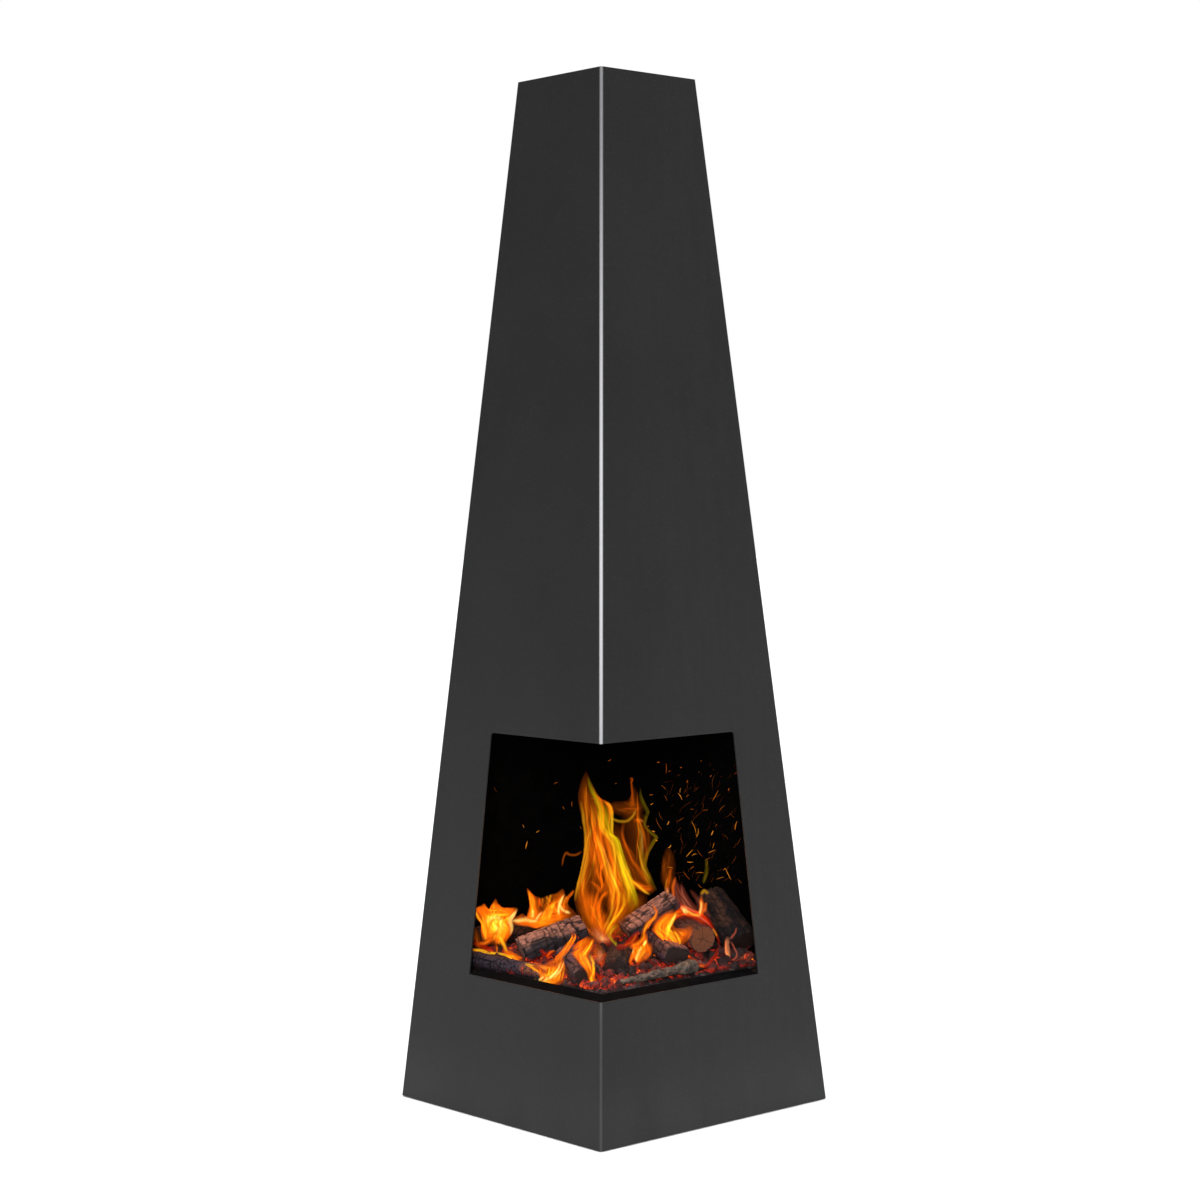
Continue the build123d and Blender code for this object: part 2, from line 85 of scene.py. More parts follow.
# ---------------------------------------------------------------- node helper
class Graph:
    def __init__(self, name, world=None):
        if world:
            self.nt = world.node_tree
        else:
            self.mat = bpy.data.materials.new(name)
            self.mat.use_nodes = True
            self.nt = self.mat.node_tree
        self.nt.nodes.clear()

    def new(self, kind, **values):
        n = self.nt.nodes.new(kind)
        for k, v in values.items():
            if k in ("operation", "data_type", "blend_type", "attribute_name", "feature", "distance", "noise_dimensions",
                     "interpolation_type", "clamp", "use_clamp", "clamp_result", "normalize", "noise_type", "invert", "bands_direction", "wave_type"):
                setattr(n, k, v)
        return n

    def link(self, a, b):
        self.nt.links.new(a, b)

    def put(self, socket, value):
        if value is None:
            return
        if isinstance(value, bpy.types.NodeSocket):
            self.link(value, socket)
        else:
            socket.default_value = value

    def math(self, op, a, b=None, c=None, clamp=False):
        n = self.new("ShaderNodeMath", operation=op, use_clamp=clamp)
        for i, v in enumerate((a, b, c)):
            self.put(n.inputs[i], v)
        return n.outputs[0]

    def noise(self, vec, scale, detail=2.0, rough=0.5, distortion=0.0):
        n = self.new("ShaderNodeTexNoise")
        self.put(n.inputs["Vector"], vec)
        n.inputs["Scale"].default_value = scale
        n.inputs["Detail"].default_value = detail
        n.inputs["Roughness"].default_value = rough
        n.inputs["Distortion"].default_value = distortion
        return n.outputs["Fac"]

    def voronoi(self, vec, scale, feature="F1", rand=1.0):
        n = self.new("ShaderNodeTexVoronoi", feature=feature)
        self.put(n.inputs["Vector"], vec)
        n.inputs["Scale"].default_value = scale
        n.inputs["Randomness"].default_value = rand
        return n.outputs["Distance"]

    def scaled(self, vec, x, y, z):
        n = self.new("ShaderNodeVectorMath", operation="MULTIPLY")
        self.link(vec, n.inputs[0])
        n.inputs[1].default_value = (x, y, z)
        return n.outputs[0]

    def ramp(self, fac, stops):
        n = self.new("ShaderNodeValToRGB")
        e = n.color_ramp.elements
        while len(e) > 1:
            e.remove(e[0])
        e[0].position, e[0].color = stops[0][0], tuple(stops[0][1]) + (1,)
        for p, c in stops[1:]:
            s = e.new(p)
            s.color = tuple(c) + (1,)
        self.link(fac, n.inputs[0])
        return n.outputs[0]

    def span(self, fac, a, b, lo=0.0, hi=1.0, smooth=True):
        n = self.new("ShaderNodeMapRange", interpolation_type="SMOOTHSTEP" if smooth else "LINEAR")
        self.put(n.inputs["Value"], fac)
        for k, v in (("From Min", a), ("From Max", b), ("To Min", lo), ("To Max", hi)):
            n.inputs[k].default_value = v
        return n.outputs["Result"]

    def mix(self, fac, a, b, blend="MIX"):
        n = self.new("ShaderNodeMix", data_type="RGBA", blend_type=blend)
        self.put(n.inputs[0], fac)
        for s, v in ((n.inputs[6], a), (n.inputs[7], b)):
            self.put(s, (tuple(v) + (1,)) if isinstance(v, tuple) and len(v) == 3 else v)
        return n.outputs[2]

    def attr(self, name):
        n = self.new("ShaderNodeAttribute", attribute_name=name)
        return n

    def object_coords(self):
        return self.new("ShaderNodeTexCoord").outputs["Object"]

    def bump(self, height, distance, strength=1.0, normal=None):
        n = self.new("ShaderNodeBump")
        n.inputs["Strength"].default_value = strength
        n.inputs["Distance"].default_value = distance
        self.link(height, n.inputs["Height"])
        if normal is not None:
            self.link(normal, n.inputs["Normal"])
        return n.outputs[0]

    def principled(self, **v):
        n = self.new("ShaderNodeBsdfPrincipled")
        for k, x in v.items():
            self.put(n.inputs[k.replace("_", " ")], (tuple(x) + (1,)) if isinstance(x, tuple) and len(x) == 3 else x)
        o = self.new("ShaderNodeOutputMaterial")
        self.link(n.outputs[0], o.inputs[0])
        return n


def assign(names, mat):
    for n in names:
        o = NODES[n]
        o.data.materials.clear()
        o.data.materials.append(mat)


# ---------------------------------------------------------------- shell materials
R_BASE = float(HI[0]) + 0.00124           # sharp corner radius at the ground, from the rounded fold
LEAN = 0.124                              # loss of that radius per unit of height


def place(g):
    """Position outputs x, y, z, |x| and the circumradius of the leaning face carried down to the ground."""
    p = g.object_coords()
    s = g.new("ShaderNodeSeparateXYZ")
    g.link(p, s.inputs[0])
    x, y, z = s.outputs
    ax = g.math("ABSOLUTE", x)
    d = g.math("MULTIPLY_ADD", z, LEAN, g.math("ADD", ax, g.math("ABSOLUTE", y)))
    return p, x, y, z, ax, d


def grey(g, tone, warm=1.0):
    c = g.new("ShaderNodeCombineColor")
    g.link(g.math("MULTIPLY", tone, 0.5 + 0.5 * warm), c.inputs[0])
    g.link(tone, c.inputs[1])
    g.link(g.math("MULTIPLY", tone, 1.035 / warm), c.inputs[2])
    return c.outputs[0]


def soot_and_shade_colour(g, p, lift=1.0):
    # soot colour; with the small lift it is called with, it is far darker than soot alone, painted shade for the inside
    # of the firebox
    return g.ramp(g.noise(p, 60.0, 4.0, 0.6), ((0.30, (0.0010 * lift, 0.0009 * lift, 0.0009 * lift)), (0.62, (0.0026 * lift, 0.0023 * lift, 0.0021 * lift)), (0.82, (0.006 * lift, 0.0052 * lift, 0.0048 * lift))))


def coat(name, gloss=0.22, dull=0.0):
    """Fine-textured black powder coat outside, with a painted highlight along the front fold and painted floor light on
    the lowest part; soot inside, darkened near to black as painted shade; which one comes from where a point lies in
    the wall.
    """
    g = Graph(name)
    p, x, y, z, ax, d = place(g)
    inside = g.span(d, R_BASE - 0.0017, R_BASE - 0.0025)
    cloud = g.noise(p, 5.5, 3.0, 0.55)
    cloud2 = g.noise(g.scaled(p, 1, 1, 0.35), 17.0, 2.0, 0.5)
    streak = g.noise(g.scaled(p, 110, 110, 2.2), 1.0, 2.0, 0.6)
    grain = g.noise(p, 900.0, 2.0, 0.65)
    speck = g.noise(p, 480.0, 1.0, 0.5)
    tone = g.math("MULTIPLY_ADD", cloud, COAT_CLOUD, COAT_TONE)
    tone = g.math("MULTIPLY_ADD", cloud2, 0.0018, tone)
    tone = g.math("MULTIPLY_ADD", g.math("MULTIPLY", streak, g.span(x, -0.02, 0.10)), 0.0035, tone)
    tone = g.math("MULTIPLY_ADD", g.span(speck, 0.60, 0.72), 0.0050, tone)
    tone = g.math("MULTIPLY_ADD", grain, 0.0030, tone)
    # painted light: the tone is lifted over the lowest 9 cm, broken up by noise, standing in for light bounced up from
    # the floor
    tone = g.math("MULTIPLY_ADD", g.math("MULTIPLY", g.span(z, 0.09, 0.0), cloud2), 0.010, tone)
    rough = g.math("MULTIPLY_ADD", cloud, 0.10, 0.36 + dull)
    rough = g.math("MULTIPLY_ADD", grain, 0.08, rough)
    onfold = g.math("MULTIPLY", g.span(ax, 0.0024, 0.0010), g.span(y, 0.0, -0.01))   # along the front fold: coat rubbed smoother, and a painted highlight raised in its tone
    rough = g.math("MULTIPLY_ADD", onfold, -FOLD_RUB, rough)
    # painted highlight: the fold's tone is raised most at mid height and less towards the top and bottom, standing in
    # for a front light shining on the bend
    reach = g.math("MULTIPLY", g.span(z, 0.10, 0.55, 0.04, 1.0), g.span(z, 0.62, 1.10, 1.0, 0.38))
    tone = g.math("MULTIPLY_ADD", g.math("MULTIPLY", onfold, reach), FOLD_HIGHLIGHT_TONE, tone)
    n = g.bump(cloud2, 0.0010, 0.06, g.bump(grain, 0.00010, 0.35))
    a = g.new("ShaderNodeBsdfPrincipled")
    for k, v in (("Base Color", grey(g, tone)), ("Roughness", rough), ("Normal", n), ("Specular IOR Level", gloss)):
        g.put(a.inputs[k], v)
    b = g.new("ShaderNodeBsdfPrincipled")
    flake = g.noise(p, 260.0, 4.0, 0.7)
    # inside the wall: soot darkened to near black as painted shade
    for k, v in (("Base Color", soot_and_shade_colour(g, p, 0.35)), ("Roughness", g.math("MULTIPLY_ADD", flake, 0.2, 0.78)), ("Normal", g.bump(flake, 0.0006, 0.5)), ("Specular IOR Level", 0.015)):
        g.put(b.inputs[k], v)
    m = g.new("ShaderNodeMixShader")
    g.link(inside, m.inputs[0])
    g.link(a.outputs[0], m.inputs[1])
    g.link(b.outputs[0], m.inputs[2])
    o = g.new("ShaderNodeOutputMaterial")
    g.link(m.outputs[0], o.inputs[0])
    return g.mat


COAT_TONE, COAT_CLOUD, FOLD_RUB, FOLD_HIGHLIGHT_TONE = 0.0030, 0.0040, 0.10, 0.27
shell_coat = coat("black_powder_coat")
assign(["front_shell", "rear_shell", "top_collar"], shell_coat)


def sooted_paint(name, tone0=0.004, dust=0.022, rough0=0.62, gloss=0.28, ash=0.35):
    """Paint dulled by smoke, with ash dust lying in blotches."""
    g = Graph(name)
    p, x, y, z, ax, d = place(g)
    blot = g.noise(p, 55.0, 4.0, 0.62)
    fine = g.noise(p, 420.0, 3.0, 0.7)
    cover = g.math("MULTIPLY", g.span(blot, 0.48, 0.72), ash)
    cover = g.math("MULTIPLY_ADD", g.span(fine, 0.55, 0.75), ash * 0.5, cover)
    tone = g.math("MULTIPLY_ADD", blot, tone0, tone0)
    tone = g.math("MULTIPLY_ADD", cover, dust, tone)
    rough = g.math("MULTIPLY_ADD", fine, 0.22, rough0)
    n = g.bump(fine, 0.0004, 0.45, g.bump(blot, 0.0012, 0.2))
    g.principled(Base_Color=grey(g, tone, 0.90), Roughness=rough, Normal=n, Specular_IOR_Level=gloss)
    return g.mat


assign(["sill_strip_left", "sill_strip_right"], sooted_paint("sooted_sill", 0.0014, 0.0035, 0.78, 0.015, 0.40))
assign([n for n in NODES if n.startswith("seam_strip")], sooted_paint("sooted_returns", 0.0015, 0.006, 0.7, 0.10, 0.3))
assign([n for n in NODES if n.startswith("hearth_bracket") or n in ("hearth_plate", "base_frame", "base_spacers")], sooted_paint("sooted_steel", 0.006, 0.05, 0.6, 0.3, 0.5))
assign(["ash_tray"], sooted_paint("ashy_tray_steel", 0.006, 0.16, 0.7, 0.25, 0.8))


def iron(name):
    """Scaled grate iron: rusty brown scale over dark metal, ash in the pits."""
    g = Graph(name)
    p = g.object_coords()
    scale = g.noise(p, 130.0, 5.0, 0.7)
    pits = g.voronoi(p, 480.0)
    col = g.ramp(scale, ((0.30, (0.012, 0.010, 0.009)), (0.55, (0.045, 0.022, 0.014)), (0.75, (0.10, 0.055, 0.035))))
    col = g.mix(g.span(pits, 0.25, 0.05, 0, 0.5), col, (0.13, 0.12, 0.11))
    g.principled(Base_Color=col, Roughness=g.math("MULTIPLY_ADD", scale, 0.3, 0.55), Metallic=0.25,
                 Normal=g.bump(pits, 0.0008, 0.5, g.bump(scale, 0.001, 0.5)), Specular_IOR_Level=0.3)
    return g.mat


assign(["grate_frame", "grate_bars", "grate_legs"], iron("grate_iron"))


def zinc(name):
    """Zinc plate: fine spangle, dulled and yellowed a little by heat."""
    g = Graph(name)
    p = g.object_coords()
    cell = g.new("ShaderNodeTexVoronoi", feature="F1")
    g.link(p, cell.inputs["Vector"])
    cell.inputs["Scale"].default_value = 700.0
    worn = g.noise(p, 240.0, 4.0, 0.6)
    col = g.mix(g.span(worn, 0.4, 0.7), (0.40, 0.40, 0.39), (0.24, 0.22, 0.19))
    col = g.mix(0.12, col, cell.outputs["Color"], "OVERLAY")
    g.principled(Base_Color=col, Metallic=0.92, Roughness=g.math("MULTIPLY_ADD", worn, 0.3, 0.28),
                 Normal=g.bump(worn, 0.0002, 0.3, g.bump(cell.outputs["Distance"], 0.0001, 0.3)))
    return g.mat


assign([n for n in NODES if "_screws" in n or "_nuts" in n or n.startswith("foot_stud")], zinc("zinc_plated_steel"))


def nylon(name):
    g = Graph(name)
    p, x, y, z, ax, d = place(g)
    grain = g.noise(p, 1500.0, 2.0, 0.6)
    grime = g.noise(p, 170.0, 3.0, 0.6)
    tone = g.math("MULTIPLY_ADD", grain, 0.006, 0.010)
    tone = g.math("MULTIPLY_ADD", g.math("MULTIPLY", g.span(z, 0.003, 0.0), grime), 0.05, tone)
    g.principled(Base_Color=grey(g, tone), Roughness=g.math("MULTIPLY_ADD", grain, 0.15, 0.55), Normal=g.bump(grain, 0.0001, 0.5), Specular_IOR_Level=0.4)
    return g.mat


assign([n for n in NODES if n.startswith("foot_pad")], nylon("black_nylon"))


# ---------------------------------------------------------------- numpy noise
def lattice(ix, iy, iz, seed):
    h = (ix * 374761393 + iy * 668265263 + iz * 2147483647 + seed * 974634777) & 0xFFFFFFFF
    h = ((h ^ (h >> 13)) * 1274126177) & 0xFFFFFFFF
    h = (h ^ (h >> 16)) & 0xFFFF
    return h / 65535.0


def vnoise(p, scale, seed=0):
    """Smooth value noise, 0 to 1, of points p (n by 3) at scale cells per unit."""
    q = np.asarray(p, float) * scale
    i = np.floor(q).astype(np.int64)
    f = q - i
    f = f * f * (3 - 2 * f)
    out = 0.0
    for dx in (0, 1):
        for dy in (0, 1):
            for dz in (0, 1):
                w = (f[:, 0] if dx else 1 - f[:, 0]) * (f[:, 1] if dy else 1 - f[:, 1]) * (f[:, 2] if dz else 1 - f[:, 2])
                out = out + w * lattice(i[:, 0] + dx, i[:, 1] + dy, i[:, 2] + dz, seed)
    return out


def fbm(p, scale, seed=0, octaves=4, gain=0.5):
    out, a, tot = 0.0, 1.0, 0.0
    for k in range(octaves):
        out = out + a * vnoise(p, scale * 2.03 ** k, seed + 17 * k)
        tot += a
        a *= gain
    return out / tot


def cells(s, t, cs, ct, seed, jitter=0.75):
    """Distance to the nearest cell edge and a random number per cell, on a jittered brick pattern."""
    row = np.floor(t / ct)
    best = np.full(s.shape, 1e9)
    second = np.full(s.shape, 1e9)
    ident = np.zeros(s.shape)
    u, v = s / cs, t / ct
    iu, iv = np.floor(u).astype(np.int64), np.floor(v).astype(np.int64)
    for du in (-1, 0, 1):
        for dv in (-1, 0, 1):
            a, b = iu + du, iv + dv
            z = np.zeros_like(a)
            ju = lattice(a, b, z, seed) - 0.5
            jv = lattice(a, b, z, seed + 5) - 0.5
            cu = a + 0.5 + jitter * ju + 0.35 * (b % 2)
            cv = b + 0.5 + jitter * 0.8 * jv
            d = np.maximum(np.abs(u - cu), np.abs(v - cv)) + 0.35 * np.hypot(u - cu, v - cv)
            closer = d < best
            second = np.where(closer, best, np.minimum(second, d))
            ident = np.where(closer, lattice(a, b, z, seed + 9), ident)
            best = np.where(closer, d, best)
    return second - best, ident


def bricks(s, t, cs, ct, seed, wide=0.0008):
    """Cracks across the grain with shorter ones along it between them, as charred wood checks; and a number per block."""
    i = np.floor(s / cs).astype(np.int64)
    f = s / cs - i
    z = np.zeros_like(i)
    strong = lattice(i + (f > 0.5), z, z, seed)
    q = t / ct + 3.0 * lattice(i, z, z, seed + 3)
    j = np.floor(q).astype(np.int64)
    g = q - j
    weak = lattice(i, j + (g > 0.5), z, seed + 5)
    across = np.exp(-(np.minimum(f, 1 - f) * cs / wide) ** 2) * smooth(0.05, 0.55, strong)
    along = np.exp(-(np.minimum(g, 1 - g) * ct / (0.75 * wide)) ** 2) * smooth(0.15, 0.65, weak)
    return np.maximum(across, along), lattice(i, j, z, seed + 7)


def smooth(e0, e1, x):
    t = np.clip((x - e0) / (e1 - e0), 0, 1)
    return t * t * (3 - 2 * t)


def lerp(a, b, t):
    return a + (b - a) * t


def mesh_piece(name, verts, faces, material, body="fire_grate", colour=None, glow=None, flat=False, extra=None):
    me = bpy.data.meshes.new(name)
    verts = np.asarray(verts, np.float32)
    faces = [np.asarray(f, np.int32) for f in faces if len(f)]
    total = sum(f.size for f in faces)
    count = sum(len(f) for f in faces)
    me.vertices.add(len(verts))
    me.vertices.foreach_set("co", verts.ravel())
    me.loops.add(total)
    me.loops.foreach_set("vertex_index", np.concatenate([f.ravel() for f in faces]))
    me.polygons.add(count)
    sizes = np.concatenate([np.full(len(f), f.shape[1]) for f in faces])
    me.polygons.foreach_set("loop_start", np.concatenate(([0], np.cumsum(sizes)[:-1])).astype(np.int32))
    me.polygons.foreach_set("use_smooth", np.full(count, not flat))
    me.update(calc_edges=True)
    me.validate()
    bm = bmesh.new()
    bm.from_mesh(me)
    bmesh.ops.recalc_face_normals(bm, faces=bm.faces)
    bm.to_mesh(me)
    bm.free()
    if colour is not None:
        c = np.ones((len(verts), 4), np.float32)
        c[:, :3] = colour
        me.attributes.new("Col", "FLOAT_COLOR", "POINT").data.foreach_set("color", c.ravel())
    if glow is not None:
        me.attributes.new("Glow", "FLOAT", "POINT").data.foreach_set("value", np.asarray(glow, np.float32))
    for k, v in (extra or {}).items():
        me.attributes.new(k, "FLOAT", "POINT").data.foreach_set("value", np.asarray(v, np.float32))
    o = bpy.data.objects.new(name, me)
    bpy.context.scene.collection.objects.link(o)
    me.materials.append(material)
    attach(o, body)
    return o


# ---------------------------------------------------------------- fuel
def burning(name, rough0, bump_scale, glow_gain):
    """Char, bark or ash: colour and heat from the piece's own attributes, broken up by finer noise."""
    g = Graph(name)
    p = g.object_coords()
    col = g.attr("Col").outputs["Color"]
    heat = g.attr("Glow").outputs["Fac"]
    fine = g.noise(p, bump_scale, 4.0, 0.7)
    mid = g.noise(p, bump_scale * 0.22, 3.0, 0.6)
    k = g.math("MULTIPLY_ADD", fine, 0.9, 0.55)
    base = g.mix(1.0, col, grey(g, k), "MULTIPLY")
    flick = g.math("MULTIPLY", heat, g.span(mid, 0.30, 0.62, 0.15, 1.0))
    hot = g.ramp(flick, ((0.0, (0.0, 0.0, 0.0)), (0.18, (0.16, 0.004, 0.0005)), (0.42, (0.85, 0.05, 0.002)), (0.70, (1.0, 0.20, 0.008)), (1.0, (1.0, 0.50, 0.06))))
    g.principled(Base_Color=base, Roughness=g.math("MULTIPLY_ADD", fine, 0.2, rough0), Normal=g.bump(fine, 0.0005, 0.6),
                 Specular_IOR_Level=0.18, Emission_Color=hot, Emission_Strength=glow_gain)
    g.mat.cycles.emission_sampling = "NONE"
    return g.mat


char_mat = burning("charred_wood", 0.72, 900.0, 1.0)
bark_mat = burning("burnt_bark", 0.78, 600.0, 1.0)
ash_mat = burning("ash_grey_wood", 0.86, 700.0, 1.0)


def end_loops(node):
    """The two end outlines of a log's CAD prism, in matching order, and its axis."""
    co = np.array([v.co for v in NODES[node].data.vertices], float)
    co = np.unique(np.round(co, 6), axis=0)
    keep = [co[0]]
    for c in co[1:]:
        if min(np.linalg.norm(c - k) for k in keep) > 2e-5:
            keep.append(c)
    co = np.array(keep)
    mid = co.mean(0)
    w, v = np.linalg.eigh(np.cov((co - mid).T))
    d = v[:, 2]
    if abs(d[0]) > 0.2 and d[0] < 0 or abs(d[0]) <= 0.2 and d[1] > 0:
        d = -d                                        # a runs to b towards +X, or towards the front
    t = (co - mid) @ d
    a, b = co[t < 0], co[t > 0]
    side = np.cross(d, (0, 0, 1.0))
    side /= np.linalg.norm(side)
    top = np.cross(side, d)

    def ordered(q):
        m = q - q.mean(0)
        return q[np.argsort(np.arctan2(m @ top, m @ side))]
    a, b = ordered(a), ordered(b)
    if len(a) != len(b):
        raise SystemExit("log outline of " + node + " has unequal ends")
    k = int(np.argmin([np.linalg.norm((np.roll(b, i, 0) - b.mean(0)) - (a - a.mean(0))) for i in range(len(b))]))
    return a, np.roll(b, k, 0), d, side, top


def around(loop, v, soften):
    """Points at fractions v of the way round a closed outline, corners softened."""
    n = len(loop)
    seg = np.linalg.norm(np.roll(loop, -1, 0) - loop, axis=1)
    cum = np.concatenate(([0], np.cumsum(seg)))
    out = 0
    for off in (-soften, -soften / 2, 0, soften / 2, soften):
        x = ((v + off) % 1.0) * cum[-1]
        i = np.clip(np.searchsorted(cum, x, "right") - 1, 0, n - 1)
        f = (x - cum[i]) / seg[i]
        out = out + loop[i] * (1 - f)[:, None] + loop[(i + 1) % n] * f[:, None]
    return out / 5


def log_piece(node, style, seed, pitch=0.0008, knots=0):
    a, b, d, side, top = end_loops(node)
    length = np.linalg.norm(b.mean(0) - a.mean(0))
    perim = np.linalg.norm(np.roll(a, -1, 0) - a, axis=1).sum()
    nu, nv = int(length / pitch) + 2, int(perim / pitch)
    soften = 0.012 if style == "round_cut" or style in ("bark", "branch", "stick") else 0.006
    U, V = np.meshgrid(np.linspace(0, 1, nu), np.arange(nv) / nv, indexing="ij")
    u, v = U.ravel(), V.ravel()
    pa, pb = around(a, v, soften), around(b, v, soften)
    pos = pa + (pb - pa) * u[:, None]
    axis = a.mean(0) + (b.mean(0) - a.mean(0)) * u[:, None]
    out = pos - axis
    rad = np.linalg.norm(out, axis=1)
    out = out / rad[:, None]
    s, t = u * length, v * perim
    key = np.stack([s, t, np.full_like(s, seed * 0.37)], 1)
    key3 = pos + seed * 1.7
    n_big = fbm(key3, 70, seed, 3)
    n_fine = fbm(key3, 420, seed + 3, 3)
    along = fbm(np.stack([s * 0.22, t, 0 * s + seed], 1), 520, seed + 7, 3)      # grain lines
    up = out[:, 2]
    inward = np.zeros_like(s)
    glow = np.zeros_like(s)
    if style in ("split", "char", "stick", "round_cut"):
        warp_s = (fbm(key3, 160, seed + 11, 2) - 0.5) * 0.004
        warp_t = (fbm(key3, 150, seed + 12, 2) - 0.5) * 0.0035
        cs, ct = {"split": (0.0092, 0.0058), "char": (0.0095, 0.0078), "stick": (0.0058, 0.0120), "round_cut": (0.0070, 0.0065)}[style]
        bend = (fbm(key3, 45, seed + 13, 2) - 0.5) * 0.008
        groove, ident = bricks(s + warp_s + bend, t + warp_t, cs, ct, seed + 20, {"split": 0.00098, "char": 0.00095}.get(style, 0.0008))
        edge2, _ = cells(s * 1.0 + warp_t, t + warp_s, cs * 3.1, ct * 2.2, seed + 31)
        deep = np.exp(-(edge2 / 0.07) ** 2)
        present = 0.55 + 0.45 * smooth(0.30, 0.52, n_big + 0.25 * (ident - 0.5) + 0.10)
        groove = groove * present
        inward += 0.0013 * groove + 0.0016 * deep + 0.0007 * (1 - n_big) + 0.0003 * (ident - 0.5) + 0.0003 * (1 - along)
        # painted light: lit runs from 0 underneath to 1 on the upward-facing side, and the styles below colour the wood
        # lighter where it faces up, standing in for light falling from above
        lit = smooth(-0.25, 0.65, up)
        if style == "split":
            top_c = lerp(np.array((0.095, 0.038, 0.026)), np.array((0.360, 0.158, 0.110)), (0.6 * n_fine + 0.7 * along - 0.15)[:, None])
            low_c = np.array((0.014, 0.011, 0.015))
            burnt = smooth(0.52, 0.66, fbm(key3, 95, seed + 40, 3))[:, None]
            c = lerp(low_c, top_c, lit[:, None])
            c = lerp(c, np.array((0.010, 0.008, 0.010)), burnt * 0.92)
        elif style == "char":
            top_c = lerp(np.array((0.040, 0.020, 0.020)), np.array((0.120, 0.050, 0.040)), n_fine[:, None])
            c = lerp(np.array((0.012, 0.008, 0.010)), top_c, (0.35 + 0.65 * lit)[:, None] * (0.4 + 0.9 * ident)[:, None])
            violet = smooth(0.5, 0.7, fbm(key3, 110, seed + 41, 2))[:, None]
            c = lerp(c, c * np.array((0.8, 0.85, 1.5)), violet)
        elif style == "stick":
            c = lerp(np.array((0.012, 0.008, 0.012)), np.array((0.045, 0.028, 0.038)), (0.3 + 0.7 * n_fine * (0.4 + 0.6 * lit))[:, None])
            brown = smooth(0.62, 0.80, u + 0.10 * (n_big - 0.5)) * smooth(-0.7, 0.1, up)
            c = lerp(c, np.array((0.26, 0.085, 0.040)) * (0.35 + 0.9 * ident)[:, None], (brown * 0.75)[:, None])
            glow += 0.75 * groove * smooth(0.62, 0.74, u) * smooth(0.5, 0.8, fbm(key3, 200, seed + 44, 2))
        else:
            c = lerp(np.array((0.014, 0.008, 0.008)), np.array((0.10, 0.040, 0.026)), (0.6 * n_fine + 0.3 * lit * along)[:, None])
            glow += 0.55 * groove * smooth(0.45, 0.75, fbm(key3, 160, seed + 45, 2)) * smooth(0.2, -0.6, up)
        c = c * (1 - 0.93 * np.clip(groove * 1.1, 0, 1) * 0.9)[:, None]
        c = c * (1 - 0.9 * deep)[:, None]
        heat = smooth(0.55, 0.78, fbm(key3, 120, seed + 50, 2))
        glow += 0.55 * groove * heat * smooth(0.1, -0.7, up)
    elif style == "bark":
        ridges = fbm(np.stack([s * 0.35, t, 0 * s + seed], 1), 210, seed + 7, 4)
        plates, ident = cells(s + 0.004 * (n_big - 0.5), t + 0.003 * (n_fine - 0.5), 0.012, 0.006, seed + 21)
        groove = np.exp(-(plates / 0.16) ** 2)
        inward += 0.0018 * (1 - ridges) + 0.0011 * groove + 0.0004 * n_fine
        # painted light: the bark ridges are coloured lighter where the log faces up
        c = lerp(np.array((0.006, 0.004, 0.004)), np.array((0.062, 0.025, 0.014)), (ridges * (0.35 + 0.65 * smooth(-0.5, 0.7, up)))[:, None])
        c = lerp(c, np.array((0.005, 0.004, 0.005)), (0.85 * smooth(0.45, 0.60, fbm(key3, 60, seed + 43, 3)))[:, None])
        c = c * (1 - 0.8 * groove)[:, None]
        glow += 0.5 * groove * smooth(0.62, 0.80, fbm(key3, 90, seed + 50, 2)) * smooth(0.2, -0.7, up)
    else:                                               # ash-covered branch, with knobs
        lumps = fbm(key3, 190, seed + 7, 4)
        knob = np.exp(-((u - 0.93) / 0.10) ** 2)
        swirl = 0.5 + 0.5 * np.sin(9.0 * np.hypot(s - 0.93 * length, (t - 0.45 * perim)) / 0.004 + 5 * n_big)
        inward += 0.0022 * (1 - lumps) * (1 - 0.6 * knob) + 0.0009 * swirl * knob + 0.0026 * smooth(0.88, 0.70, u) + 0.0012 * smooth(0.5, 0.1, u)
        # painted light: the ash lumps are coloured lighter where the branch faces up
        c = lerp(np.array((0.018, 0.014, 0.012)), np.array((0.160, 0.115, 0.085)), np.clip(1.5 * (lumps - 0.28) * (0.45 + 0.55 * smooth(-0.6, 0.5, up)), 0, 1)[:, None])
        c = lerp(c, np.array((0.17, 0.095, 0.065)), (0.45 * smooth(0.55, 0.7, fbm(key3, 260, seed + 8, 2)))[:, None])
        c = c * (1 - 0.55 * swirl * knob)[:, None]
        c = lerp(c, np.array((0.015, 0.013, 0.014)), (0.85 * smooth(0.56, 0.68, fbm(key3, 120, seed + 9, 3)))[:, None])
    tip = np.minimum(u, 1 - u) * length
    inward += 0.0011 * np.exp(-(tip / 0.0016) ** 2)       # worn arrises at the ends
    pos = pos - out * inward[:, None]
    idx = np.arange(nu * nv).reshape(nu, nv)
    nxt = np.roll(idx, -1, 1)
    quads = np.stack([idx[:-1], nxt[:-1], nxt[1:], idx[1:]], -1).reshape(-1, 4)
    verts, cols, glows, faces = [pos], [np.clip(c, 0, 1)], [np.clip(glow, 0, 1)], [quads]
    base = len(pos)
    rings = max(6, int(0.5 * perim / math.pi / (pitch * 1.3)))
    for end, ring, sign, hub in ((0, idx[0], -1, a.mean(0)), (1, idx[-1], 1, b.mean(0))):
        edge_p = pos[ring]
        rr = np.linspace(1, 0, rings + 1)[1:-1]
        R, K = np.meshgrid(rr, np.arange(nv), indexing="ij")
        cap = hub + (edge_p[K.ravel()] - hub) * R.ravel()[:, None]
        rad_frac = R.ravel()
        ang = K.ravel() / nv
        kk = cap + seed
